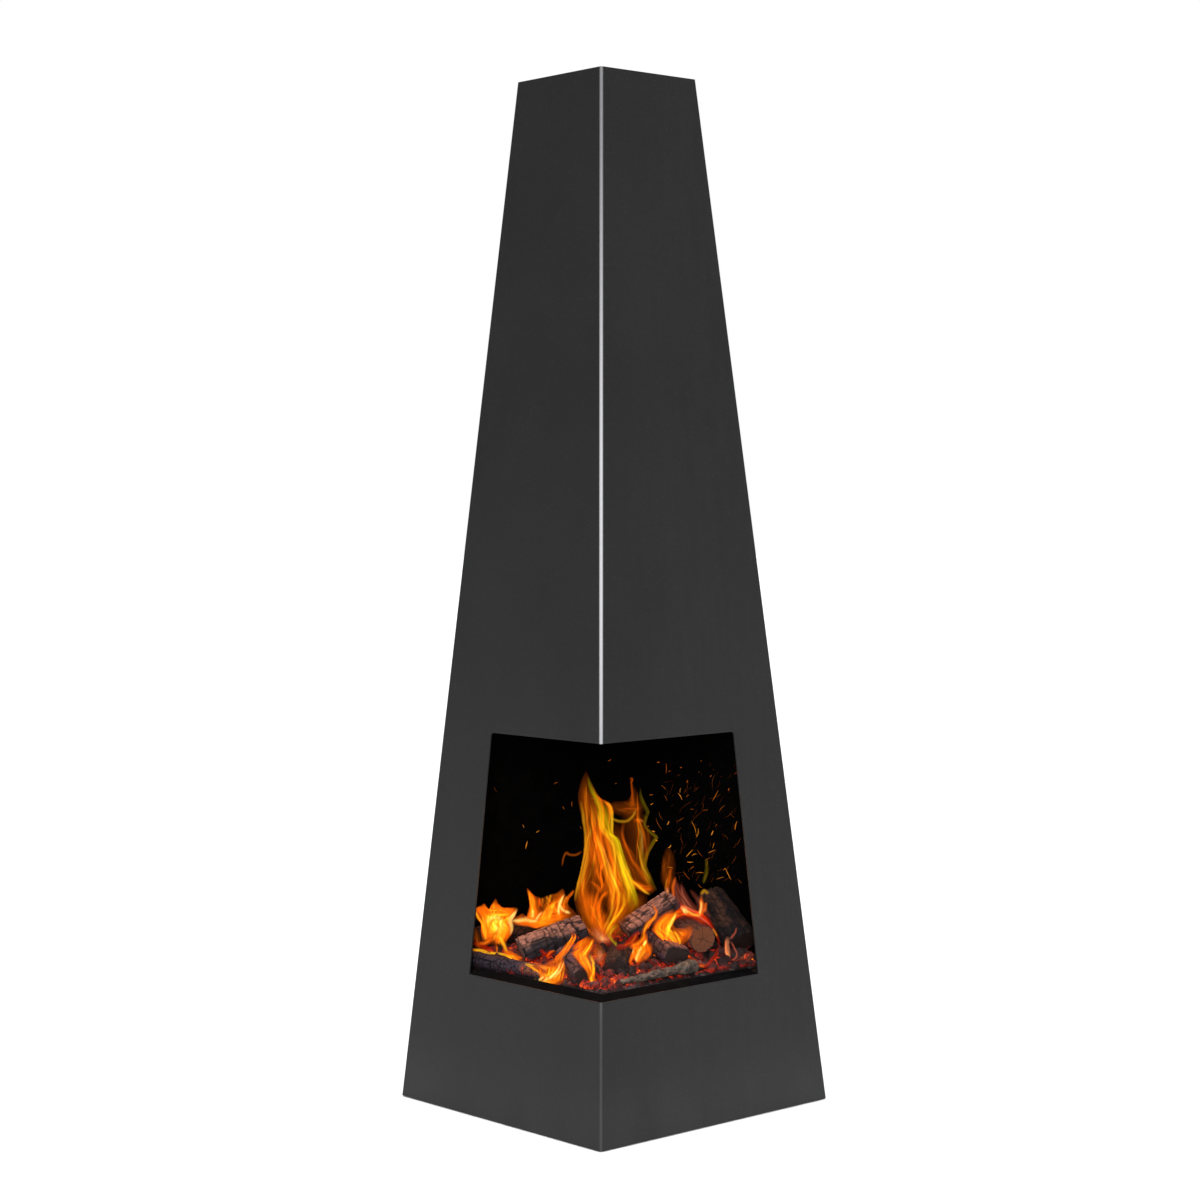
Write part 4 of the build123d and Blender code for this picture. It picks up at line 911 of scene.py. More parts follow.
        ("x", 0.45, [(-92.6, 39.1, 2.18), (-94.8, 32.6, 1.74)]),
        ("w", 1.0, [(-107.8, 29.3, 1.09), (-100.2, 30.0, 1.63), (-92.6, 31.1, 1.85), (-86.1, 29.3, 1.42), (-80.7, 30.0, 1.2), (-77.4, 35.3, 0.98), (-73.1, 40.2, 0.76)]),
        ("o", 0.9, [(-106.7, 28.2, 2.4), (-95.9, 28.2, 3.49), (-84.0, 25.0, 3.27), (-71.0, 29.4, 3.7), (-58.0, 31.6, 3.26)]),
        ("o", 0.95, [(-89.7, 65.2, 0.87), (-86.5, 57.6, 2.61), (-84.4, 46.7, 3.26), (-83.9, 37.0, 3.48), (-88.3, 30.4, 4.36)]),
        ("w", 0.55, [(-83.9, 41.3, 1.09), (-83.9, 33.7, 1.42)]),
        ("o", 0.85, [(-72.0, 40.2, 1.52), (-72.0, 33.7, 3.26), (-75.3, 28.3, 4.35)]),
        ("o", 0.85, [(-58.9, 56.6, 1.96), (-62.2, 46.8, 2.39), (-65.5, 37.0, 3.05), (-71.0, 29.4, 3.27)]),
        ("y", 0.6, [(-60.0, 49.0, 1.09), (-63.3, 40.3, 1.31), (-66.6, 32.7, 1.41)]),
        ("o", 0.8, [(-51.3, 57.7, 1.3), (-54.6, 49.0, 2.61), (-55.7, 40.3, 3.26), (-54.7, 31.6, 3.26)]),
        ("w", 0.9, [(-50.2, 57.7, 0.76), (-53.5, 51.2, 1.3), (-55.2, 43.6, 1.3), (-55.8, 37.0, 0.98)]),
        ("w", 0.8, [(-54.6, 46.8, 0.98), (-50.9, 41.4, 1.2), (-44.9, 38.2, 1.3)]),
        ("o", 0.8, [(-38.3, 63.1, 0.87), (-43.7, 56.6, 2.17), (-48.1, 49.0, 3.26), (-50.3, 40.3, 4.35)]),
        ("b", 0.6, [(-63.2, 58.7, 2.39), (-70.8, 53.3, 3.7), (-78.4, 47.8, 3.26)]),
        ("b", 0.5, [(-48.0, 63.1, 3.26), (-54.5, 59.8, 3.26), (-63.2, 55.5, 3.26)]),
        ("o", 0.65, [(-36.1, 58.8, 2.17), (-35.1, 49.0, 4.89), (-33.0, 40.4, 4.89), (-27.7, 32.8, 3.26)]),
        ("x", 0.45, [(-47.0, 53.3, 1.3), (-48.1, 46.8, 1.74)]),
        ("M", 0.0, []),
        ("b", 0.3, [(-148.1, 20.4, 3.28), (-144.9, 10.7, 3.28), (-141.7, -0.2, 3.28)]),
    )),
    ("flame_front_left", -45, -166, -10, (
        ("M", 1.26, [(116.3, -6.8), (129.4, -1.8), (143.9, -2.0), (152.0, -1.9), (161.7, 5.7), (169.7, 15.1), (176.2, 23.2), (185.7, 30.7), (188.9, 35.3), (185.8, 41.1), (192.0, 36.7), (193.5, 30.7), (182.5, 24.1), (179.3, 18.4), (180.8, 12.4), (174.4, 5.3), (179.1, -0.3), (180.5, -8.5), (174.1, -15.6), (164.6, -20.1), (150.2, -20.1), (135.7, -20.0), (127.5, -19.0), (132.5, -12.0), (122.8, -9.1)]),
        ("o", 0.95, [(171.2, 6.9, 4.19), (167.9, -1.9, 8.39), (161.5, -11.1, 9.47), (148.6, -17.1, 6.34)]),
        ("o", 0.9, [(122.8, -7.0, 2.55), (135.8, -8.4, 5.3), (147.1, -11.0, 6.34), (156.6, -13.9, 6.32)]),
        ("y", 0.7, [(132.5, -9.9, 1.06), (143.8, -12.5, 1.69), (153.5, -10.1, 1.69), (161.6, -3.8, 1.26)]),
        ("w", 0.6, [(143.7, -18.9, 0.85), (153.4, -14.3, 1.27), (163.1, -6.7, 1.26), (169.6, 1.5, 1.05)]),
        ("o", 0.95, [(187.4, 38.2, 1.46), (188.9, 32.2, 2.5), (179.3, 23.6, 3.13), (171.3, 14.3, 3.77), (163.2, 4.8, 3.78)]),
        ("F", 24, 0.6, [(129.4, -4.0), (135.8, -10.5), (132.4, -18.3)], [(176.1, 18.0), (177.5, -0.6), (174.1, -14.6)], "ooooyrb"),
        ("M", 0.0, []),
        ("o", 1.0, [(184.2, 38.8, 0.83), (189.7, 34.3, 1.35), (186.5, 27.7, 1.56), (176.1, 19.1, 2.09), (168.1, 9.7, 2.1), (156.8, 2.9, 1.89), (143.9, -2.0, 1.27)]),
        ("y", 0.4, [(188.9, 33.2, 0.73), (184.1, 25.3, 0.83), (172.9, 16.6, 0.94)]),
        ("r", 0.7, [(190.4, 27.2, 0.94), (182.5, 22.0, 1.15), (177.6, 15.1, 1.15)]),
        ("o", 1.0, [(172.8, 6.1, 0.94), (172.7, -1.2, 2.31), (169.5, -9.0, 2.94), (161.4, -16.4, 3.16)]),
        ("w", 0.9, [(173.6, 5.2, 0.84), (169.5, -0.6, 1.05), (163.1, -7.8, 1.26), (156.6, -13.9, 1.37)]),
        ("o", 0.9, [(153.6, 0.4, 1.37), (154.3, -7.9, 2.32), (150.2, -15.8, 2.53)]),
        ("y", 0.7, [(153.6, -3.8, 0.84), (152.7, -11.3, 1.16)]),
        ("o", 0.9, [(135.8, -7.3, 1.69), (143.8, -11.5, 2.54), (140.5, -17.2, 2.12)]),
        ("w", 0.9, [(134.0, -18.6, 0.95), (140.5, -16.7, 1.16), (147.0, -13.1, 0.85)]),
        ("y", 0.9, [(114.7, -4.3, 0.96), (124.4, -6.7, 1.06), (135.8, -11.0, 1.06)]),
        ("y", 0.9, [(129.2, -18.2, 1.27), (145.4, -18.6, 1.69), (161.4, -18.0, 1.68)]),
        ("o", 0.6, [(143.9, -3.0, 2.11), (160.0, -4.0, 3.16), (167.9, -6.1, 3.15)]),
    )),
    ("flame_centre", 0, 0, -152, (
        ("M", 1.26, [(-24.7, 29.5), (-18.5, 33.7), (-12.3, 35.8), (-7.1, 35.8), (-6.1, 31.7), (-10.3, 27.5), (-13.4, 21.3), (-15.5, 15.1), (-11.4, 9.9), (-8.4, 2.7), (-9.5, -5.6), (-6.4, -12.8), (-8.5, -20.1), (-12.7, -20.1), (-13.6, -13.9), (-16.7, -6.7), (-19.7, 0.6), (-24.8, 7.8), (-31.0, 14.0), (-35.1, 18.1), (-28.8, 23.3)]),
        ("o", 1.0, [(-12.3, 31.6, 3.11), (-18.5, 23.3, 6.23), (-22.7, 15.0, 6.23), (-18.7, 5.7, 5.2), (-13.6, -4.6, 4.16), (-10.6, -16.0, 3.12)]),
        ("o", 0.8, [(-32.0, 18.1, 2.08), (-24.8, 16.1, 4.15), (-18.6, 8.9, 5.19)]),
        ("F", 14, 0.65, [(-18.5, 31.6), (-28.9, 19.2), (-20.7, 2.6), (-12.6, -16.0)], [(-8.2, 33.7), (-14.5, 19.2), (-8.4, 2.7), (-7.5, -16.0)], "ooooyrb"),
        ("M", 0.0, []),
        ("o", 1.0, [(-10.2, 32.7, 0.73), (-14.4, 25.4, 1.66), (-19.6, 18.2, 2.49), (-23.8, 10.9, 2.08)]),
        ("y", 0.9, [(-11.8, 30.6, 0.62), (-16.5, 23.4, 0.93), (-20.7, 16.1, 1.04)]),
        ("o", 0.95, [(-21.6, 25.4, 1.25), (-28.9, 18.1, 2.28), (-25.8, 13.0, 3.12), (-19.7, 6.8, 3.12), (-14.6, 0.6, 2.29)]),
        ("y", 0.9, [(-14.5, 16.1, 1.04), (-11.6, 8.9, 1.14), (-10.5, 0.6, 1.25), (-12.6, -6.7, 1.25), (-11.6, -13.9, 1.35), (-10.6, -20.1, 0.83)]),
        ("r", 0.7, [(-8.4, -2.5, 1.56), (-3.3, -8.7, 2.08), (1.8, -13.8, 1.87)]),
        ("k", 0.45, [(-6.3, 11.0, 3.12), (-4.2, 19.3, 3.11)]),
        ("b", 0.35, [(-14.4, 21.3, 3.11), (-6.2, 16.1, 4.15), (-2.2, 6.8, 4.15)]),
    )),
    ("flame_mid_right", 0, 0, -100, (
        ("M", 1.16, [(22.2, 16.2), (25.4, 20.5), (32.7, 19.4), (38.0, 23.7), (41.2, 30.0), (44.3, 32.1), (43.2, 24.7), (44.2, 18.4), (46.3, 13.2), (45.2, 6.8), (39.9, 1.5), (35.7, -2.7), (31.5, -4.8), (29.5, 1.5), (25.2, -0.6), (22.1, -3.8), (26.3, 6.7), (27.4, 12.0), (23.2, 14.1)]),
        ("o", 0.95, [(41.1, 26.8, 3.17), (37.9, 18.4, 6.34), (35.8, 9.9, 7.4), (32.6, 1.5, 4.23)]),
        ("o", 0.8, [(26.4, 17.3, 3.17), (30.6, 12.0, 5.29), (28.4, 3.6, 3.18)]),
        ("F", 14, 0.65, [(25.4, 18.3), (27.4, 9.9), (24.2, -1.7)], [(43.2, 26.8), (45.2, 12.1), (34.7, -2.7)], "ooooyrb"),
        ("M", 0.0, []),
        ("o", 0.95, [(47.6, 62.7, 0.74), (49.7, 56.4, 1.16), (51.8, 52.2, 1.37), (50.7, 45.8, 1.58), (44.4, 41.6, 2.11), (40.1, 33.2, 2.11), (38.0, 24.7, 2.11), (31.7, 19.4, 2.11), (24.3, 16.2, 1.27)]),
        ("y", 0.35, [(51.8, 53.2, 0.74), (49.6, 45.8, 0.84), (42.3, 39.5, 0.95), (39.1, 31.0, 0.95)]),
        ("o", 0.8, [(50.7, 50.0, 0.63), (46.5, 41.6, 0.84), (43.3, 36.3, 1.06), (44.3, 34.2, 0.63)]),
        ("o", 1.0, [(41.1, 22.6, 1.27), (39.0, 17.3, 2.33), (34.8, 11.0, 2.96), (31.6, 4.7, 2.96), (30.5, -1.7, 1.48)]),
        ("w", 1.0, [(41.1, 22.1, 0.95), (39.0, 18.4, 1.16)]),
        ("w", 0.8, [(35.8, 15.2, 0.85), (33.7, 8.9, 1.06), (31.0, 3.6, 1.16), (30.5, -0.6, 0.85)]),
        ("o", 0.85, [(27.5, 18.4, 1.16), (28.5, 11.0, 1.48), (25.8, 4.6, 1.48), (23.1, -2.8, 0.95)]),
        ("w", 0.4, [(26.9, 13.1, 0.63), (27.4, 8.9, 0.74)]),
        ("g", 0.45, [(21.1, 5.7, 0.74), (19.0, 0.4, 0.85), (20.5, -7.0, 0.74)]),
        ("o", 0.75, [(45.3, 18.4, 2.75), (43.1, 10.0, 3.17), (39.9, 2.6, 2.54)]),
        ("r", 0.6, [(30.7, 30.0, 1.27), (25.4, 24.7, 1.69), (19.1, 18.3, 1.69)]),
        ("o", 0.4, [(26.2, -14.4, 1.27), (34.6, -14.3, 1.91), (40.9, -13.2, 1.27)]),
    )),
    ("flame_right", 0, 0, -72, (
        ("M", 1.26, [(45.3, 28.3), (49.6, 33.7), (53.9, 41.1), (59.2, 45.4), (66.6, 45.4), (71.9, 49.7), (75.1, 47.6), (71.8, 41.2), (68.6, 35.8), (71.8, 30.5), (79.2, 30.6), (86.6, 28.5), (87.6, 24.2), (84.4, 17.8), (79.1, 13.5), (79.1, 7.1), (87.5, -0.3), (80.1, -0.3), (72.7, 0.7), (66.4, 8.2), (59.0, 16.7), (51.6, 23.0)]),
        ("o", 0.95, [(69.8, 45.4, 3.2), (62.3, 36.9, 7.46), (57.0, 29.4, 8.54), (61.2, 20.9, 7.47), (69.6, 11.4, 6.41), (76.9, 2.9, 3.21)]),
        ("o", 0.7, [(71.8, 26.3, 6.4), (79.1, 23.1, 6.4), (80.2, 16.7, 4.27)]),
        ("F", 20, 0.6, [(67.6, 45.4), (50.6, 32.6), (59.0, 17.7), (71.6, 2.9)], [(74.0, 45.4), (67.6, 32.7), (78.1, 22.0), (80.1, 5.0)], "ooooyrb"),
        ("x", 0.55, [(75.9, 13.5, 1.49), (80.2, 17.8, 2.35), (84.4, 24.2, 1.71)]),
        ("M", 0.0, []),
        ("o", 1.0, [(68.7, 48.6, 2.34), (60.2, 40.1, 4.05), (52.8, 32.6, 4.27), (57.0, 26.2, 4.48), (63.3, 19.9, 4.91), (67.5, 12.4, 3.84), (71.7, 6.1, 2.14)]),
        ("y", 1.0, [(72.9, 47.6, 0.85), (69.2, 41.2, 1.6), (64.9, 32.6, 1.81), (62.2, 24.1, 1.71), (62.2, 15.6, 1.17)]),
        ("w", 0.5, [(71.9, 45.4, 0.75), (67.6, 38.0, 0.96), (64.4, 30.5, 0.85)]),
        ("o", 1.0, [(46.4, 29.4, 0.85), (51.7, 26.2, 1.49), (56.9, 20.9, 1.92), (63.2, 14.5, 2.14), (69.6, 8.2, 2.14), (75.9, 2.9, 1.5)]),
        ("y", 0.85, [(69.7, 27.3, 0.96), (73.9, 21.0, 1.17), (75.9, 14.6, 1.17), (74.8, 7.1, 0.96), (78.0, 2.9, 0.85)]),
        ("o", 0.55, [(77.0, 19.9, 4.27), (83.4, 25.3, 4.48), (86.6, 30.6, 3.2)]),
        ("o", 0.5, [(71.7, 11.4, 3.2), (79.1, 17.8, 3.2)]),
        ("r", 0.55, [(78.0, 3.9, 1.71), (84.3, 0.2, 1.71), (90.6, -3.5, 1.71), (97.0, -7.7, 2.14), (103.3, -9.8, 1.5), (108.6, -4.4, 1.5), (113.9, 2.0, 1.71), (116.1, 9.4, 1.49)]),
        ("o", 0.7, [(97.0, -8.8, 1.5), (101.2, -9.8, 1.28)]),
        ("o", 0.6, [(80.1, 2.9, 1.07), (86.4, -0.3, 1.07)]),
        ("r", 0.35, [(117.1, 11.5, 1.39), (116.1, 20.1, 1.28), (111.9, 28.5, 1.71), (106.7, 33.8, 1.49)]),
        ("y", 0.4, [(110.9, 29.6, 0.75), (115.1, 22.2, 0.75)]),
        ("p", 0.3, [(70.0, 81.6, 2.13), (73.1, 69.9, 4.26), (78.3, 58.2, 5.32), (86.7, 48.7, 4.26), (96.2, 43.4, 3.2)]),
        ("p", 0.26, [(77.3, 77.3, 1.49), (80.4, 66.7, 2.77), (86.7, 56.1, 3.19), (95.1, 47.6, 3.2)]),
        ("p", 0.18, [(86.8, 71.0, 1.7), (94.1, 62.5, 2.55), (100.4, 51.9, 2.77), (108.8, 41.3, 2.13)]),
        ("r", 0.5, [(86.7, 46.5, 2.56), (97.2, 39.1, 3.2), (106.7, 34.9, 3.2)]),
        ("w", 0.95, [(79.8, 50.8, 1.49), (82.4, 47.6, 1.92)]),
        ("w", 0.7, [(98.4, 59.3, 0.64), (98.6, 53.0, 1.06), (97.2, 45.5, 1.28)]),
        ("o", 0.8, [(98.4, 61.5, 1.06), (99.4, 53.0, 2.13), (98.3, 45.5, 2.13)]),
        ("y", 0.7, [(83.5, 48.7, 1.07), (89.8, 45.5, 1.07), (97.2, 43.9, 1.07)]),
        ("y", 0.5, [(98.4, 66.8, 1.49), (101.6, 70.0, 1.7), (105.8, 67.8, 1.6)]),
        ("o", 0.55, [(103.6, 57.2, 1.49), (102.5, 48.7, 1.6)]),
        ("b", 0.24, [(63.8, 115.5, 2.55), (64.8, 100.7, 5.31), (63.6, 85.8, 6.38), (66.7, 70.9, 4.26)]),
        ("b", 0.22, [(59.5, 107.0, 1.27), (59.4, 92.2, 2.55), (61.5, 77.3, 3.19)]),
        ("o", 0.4, [(66.9, 94.3, 1.28), (63.6, 81.6, 1.81), (62.5, 68.8, 2.55)]),
        ("k", 0.6, [(62.5, 73.1, 1.06), (63.0, 66.7, 1.92)]),
        ("o", 0.5, [(71.0, 83.7, 1.06), (68.8, 73.1, 1.38), (69.9, 63.5, 1.28)]),
        ("g", 0.1, [(103.9, 105.0, 1.7), (104.3, 92.3, 2.13), (100.6, 77.4, 1.7)]),
    )),
    ("flame_far_right", 0, 0, -24, (
        ("k", 0.75, [(125.2, 11.6, 1.85), (125.1, 1.9, 2.17), (126.2, -9.0, 1.96), (126.1, -18.7, 1.52)]),
        ("o", 0.5, [(123.0, 9.4, 0.87), (124.1, -1.4, 0.98), (125.1, -14.4, 0.98)]),
        ("p", 0.5, [(128.4, 10.5, 1.3), (133.3, 16.0, 1.09), (134.9, 22.5, 0.76)]),
        ("p", 0.55, [(129.5, 7.3, 0.87), (134.3, -1.3, 0.98), (135.3, -7.8, 0.98), (129.9, -14.4, 0.76)]),
        ("o", 1.1, [(106.7, -25.8, 0.76), (113.2, -22.6, 1.74), (120.2, -20.4, 2.61), (127.2, -21.4, 1.52)]),
        ("p", 0.22, [(135.8, -14.3, 4.35), (144.4, -10.0, 4.35), (149.8, -3.5, 3.26)]),
    )),
    ("flame_low_middle", 0, 0, -98, (
        ("M", 1.37, [(-13.7, 9.4), (-17.8, 15.7), (-14.6, 21.0), (-8.3, 17.9), (-3.1, 11.5), (-0.0, 4.2), (-1.1, -4.3), (-5.4, -11.7), (-10.6, -7.5), (-13.7, 0.9)]),
        ("b", 0.55, [(-11.5, 15.7, 4.24), (-7.4, 7.3, 6.36), (-5.3, -3.3, 5.3)]),
        ("F", 8, 0.5, [(-14.6, 17.8), (-13.7, 5.2), (-9.6, -7.5)], [(-8.3, 17.9), (-1.1, 5.2), (-4.3, -9.6)], "bbro"),
        ("M", 0.0, []),
        ("M", 1.26, [(-36.8, 13.5), (-32.5, 17.8), (-26.2, 22.0), (-19.8, 26.3), (-15.7, 24.2), (-19.9, 17.8), (-25.2, 11.5), (-28.4, 5.1), (-32.7, -1.3), (-37.9, 4.0), (-41.0, 9.3)]),
        ("o", 0.95, [(-22.0, 24.2, 3.18), (-28.3, 15.7, 6.36), (-34.7, 7.2, 6.36)]),
        ("r", 0.6, [(-17.8, 22.1, 2.12), (-24.2, 9.4, 4.24), (-30.5, 0.9, 4.24)]),
        ("F", 10, 0.6, [(-24.1, 24.1), (-36.8, 13.5), (-38.9, 5.1)], [(-15.7, 24.2), (-24.2, 11.5), (-32.7, -1.3)], "ooooyrb"),
        ("M", 1.26, [(5.3, 15.8), (11.6, 19.0), (17.9, 18.0), (24.2, 21.1), (28.5, 26.4), (31.7, 32.8), (34.8, 29.6), (32.6, 22.2), (26.3, 15.9), (20.0, 12.7), (15.7, 6.3), (9.5, 9.5)]),
        ("r", 0.5, [(32.7, 30.7, 1.48), (28.4, 22.2, 2.75), (17.9, 15.8, 3.18), (9.5, 13.7, 2.54)]),
        ("o", 0.5, [(31.6, 28.6, 1.06), (26.3, 21.2, 1.69), (17.9, 16.9, 1.69)]),
        ("M", 0.0, []),
        ("o", 0.75, [(26.1, -11.6, 0.85), (32.4, -14.2, 1.91), (38.7, -13.1, 1.7), (45.0, -10.4, 0.85)]),
        ("r", 0.8, [(-3.3, -18.0, 1.27), (1.9, -23.3, 2.12), (7.1, -26.5, 1.7)]),
        ("o", 0.6, [(1.9, -26.5, 0.85), (6.1, -28.0, 1.27), (10.3, -26.4, 0.85)]),
        ("r", 0.6, [(-70.5, 11.3, 1.49), (-64.2, 6.0, 2.12), (-57.9, 9.2, 1.7)]),
        ("o", 0.55, [(-63.2, 3.9, 0.85), (-60.0, 8.2, 1.06), (-54.7, 10.3, 0.85)]),
    )),
    ("flame_behind", 0, 0, -36, (
        ("M", 1.68, [(49.3, 26.4), (45.1, 35.0), (49.4, 42.6), (58.0, 48.0), (66.6, 52.3), (74.1, 56.7), (79.5, 50.2), (88.0, 44.9), (95.5, 42.7), (95.5, 52.4), (97.7, 62.1), (100.9, 53.5), (100.8, 43.8), (107.2, 40.6), (109.3, 32.0), (113.6, 22.3), (116.7, 13.7), (113.5, 18.0), (107.2, 26.6), (98.6, 32.0), (90.1, 30.9), (81.5, 30.8), (75.0, 22.2), (64.3, 20.0)]),
        ("r", 0.75, [(58.0, 41.5, 5.4), (70.9, 43.7, 7.56), (83.7, 39.5, 6.48), (96.5, 35.2, 5.4), (109.3, 26.6, 3.24)]),
        ("o", 0.55, [(55.8, 30.7, 4.32), (66.5, 39.4, 5.4), (77.3, 43.7, 4.32)]),
        ("o", 0.75, [(97.7, 58.9, 1.29), (97.6, 48.1, 2.59), (96.5, 39.5, 2.59), (88.0, 38.4, 2.59), (79.4, 42.7, 3.24)]),
        ("F", 18, 0.6, [(53.7, 41.5), (75.2, 52.4), (96.5, 41.7), (113.6, 22.3)], [(57.9, 22.1), (77.2, 33.0), (96.5, 33.0), (111.4, 20.1)], "rroopk"),
        ("w", 0.9, [(77.8, 45.9, 1.3), (81.0, 42.7, 2.05), (83.7, 41.6, 1.08)]),
        ("x", 0.6, [(70.8, 30.8, 2.59), (81.5, 34.1, 2.81), (90.1, 34.1, 2.16)]),
        ("M", 0.0, []),
        ("b", 0.75, [(-27.9, 48.8, 6.49), (-21.5, 34.8, 8.66), (-13.0, 21.9, 8.66), (-6.6, 11.1, 6.5)]),
        ("b", 0.6, [(32.3, 56.6, 7.56), (21.5, 45.7, 8.64), (12.9, 32.8, 8.65), (4.2, 17.6, 6.5)]),
        ("r", 0.5, [(-4.4, 27.3, 8.66), (-2.3, 11.1, 8.67)]),
        ("k", 0.35, [(-15.2, 21.9, 4.33), (-8.8, 13.3, 5.42), (-0.2, 11.1, 3.25)]),
    )),
    ("flame_stick", -45, -146, -10, (
        ("y", 1.0, [(-11.2, -5.7, 1.1), (4.4, -4.8, 1.21), (18.1, -4.8, 1.09), (31.8, -4.3, 0.98), (47.0, -4.2, 0.87), (58.7, -4.8, 0.87), (65.4, -7.1, 1.08), (75.4, -9.0, 1.08)]),
        ("o", 0.9, [(50.4, 1.6, 1.3), (57.1, -1.8, 2.16), (67.1, -3.7, 2.59), (77.0, -6.7, 2.15)]),
        ("r", 0.7, [(-5.9, 1.9, 2.2), (11.3, -0.2, 2.63), (28.4, -1.2, 2.18)]),
        ("o", 0.7, [(43.8, 6.2, 1.52), (50.4, -0.5, 2.17), (60.4, -4.6, 2.59), (72.1, -6.3, 2.37)]),
    )),
)

HUES = {"b": (0.42, 0.075, 0.002), "o": (1.0, 0.145, 0.003), "y": (1.0, 0.46, 0.012), "g": (0.72, 0.52, 0.004), "w": (1.0, 0.74, 0.17), "r": (0.62, 0.02, 0.002), "p": (0.55, 0.1, 0.055), "k": (0.85, 0.28, 0.12)}


BRIGHTER = {"b": "o", "o": "y", "y": "w", "g": "y", "r": "o", "p": "k", "k": "y"}


def curve_through(pts, n=12):
    p = np.array(pts, float)
    p = np.vstack([2 * p[0] - p[1], p, 2 * p[-1] - p[-2]])
    out = []
    for i in range(1, len(p) - 2):
        t = np.linspace(0, 1, n, endpoint=False)[:, None]
        a, b, c, d = p[i - 1], p[i], p[i + 1], p[i + 2]
        out.append(0.5 * (2 * b + (c - a) * t + (2 * a - 5 * b + 4 * c - d) * t * t + (3 * b - a - 3 * c + d) * t ** 3))
    out.append(p[-2][None])
    return np.vstack(out)


def ribbon(best, X, Y, q, x0, y0, h, crisp=1.35):
    """Raise best to the soft profile of a tapering tongue along q (x, y, half width)."""
    q = q.copy()
    q[:, 2] = np.maximum(q[:, 2], 0.3)
    seg = np.hypot(np.diff(q[:, 0]), np.diff(q[:, 1]))
    L = np.concatenate(([0], np.cumsum(seg)))
    n = max(8, int(L[-1] / 0.45))
    t = np.linspace(0, L[-1], n)
    r = np.stack([np.interp(t, L, q[:, k]) for k in range(3)], 1)
    f = t / L[-1]
    fade = np.minimum(1, np.minimum(f, 1 - f) / 0.14) * 0.85 + 0.15
    ny, nx = X.shape
    for (x, y, w), fd in zip(r, fade):
        i0, i1 = int((x - 2.4 * w - x0) / h), int((x + 2.4 * w - x0) / h) + 2
        j0, j1 = int((y - 2.4 * w - y0) / h), int((y + 2.4 * w - y0) / h) + 2
        i0, j0, i1, j1 = max(i0, 0), max(j0, 0), min(i1, nx), min(j1, ny)
        if i0 >= i1 or j0 >= j1:
            continue
        d2 = ((X[j0:j1, i0:i1] - x) ** 2 + (Y[j0:j1, i0:i1] - y) ** 2) / (w * w)
        best[j0:j1, i0:i1] = np.maximum(best[j0:j1, i0:i1], fd * np.exp(-d2 ** crisp))
    return best


def trim(X, Y, poly, feather):
    """1 inside a closed outline falling to 0 over the feather outside it."""
    p = curve_through(list(map(tuple, [(a, b, 0) for a, b in poly] + [(poly[0][0], poly[0][1], 0)])), 5)[:, :2]
    inside = np.zeros(X.shape, bool)
    dist = np.full(X.shape, 1e9)
    for (xa, ya), (xb, yb) in zip(p[:-1], p[1:]):
        if ya != yb:
            cross = ((ya > Y) != (yb > Y)) & (X < (xb - xa) * (Y - ya) / (yb - ya) + xa)
            inside ^= cross
        dx, dy = xb - xa, yb - ya
        k = np.clip(((X - xa) * dx + (Y - ya) * dy) / (dx * dx + dy * dy + 1e-9), 0, 1)
        dist = np.minimum(dist, np.hypot(X - xa - k * dx, Y - ya - k * dy))
    return np.clip(0.5 + np.where(inside, dist, -dist) / feather, 0, 1)


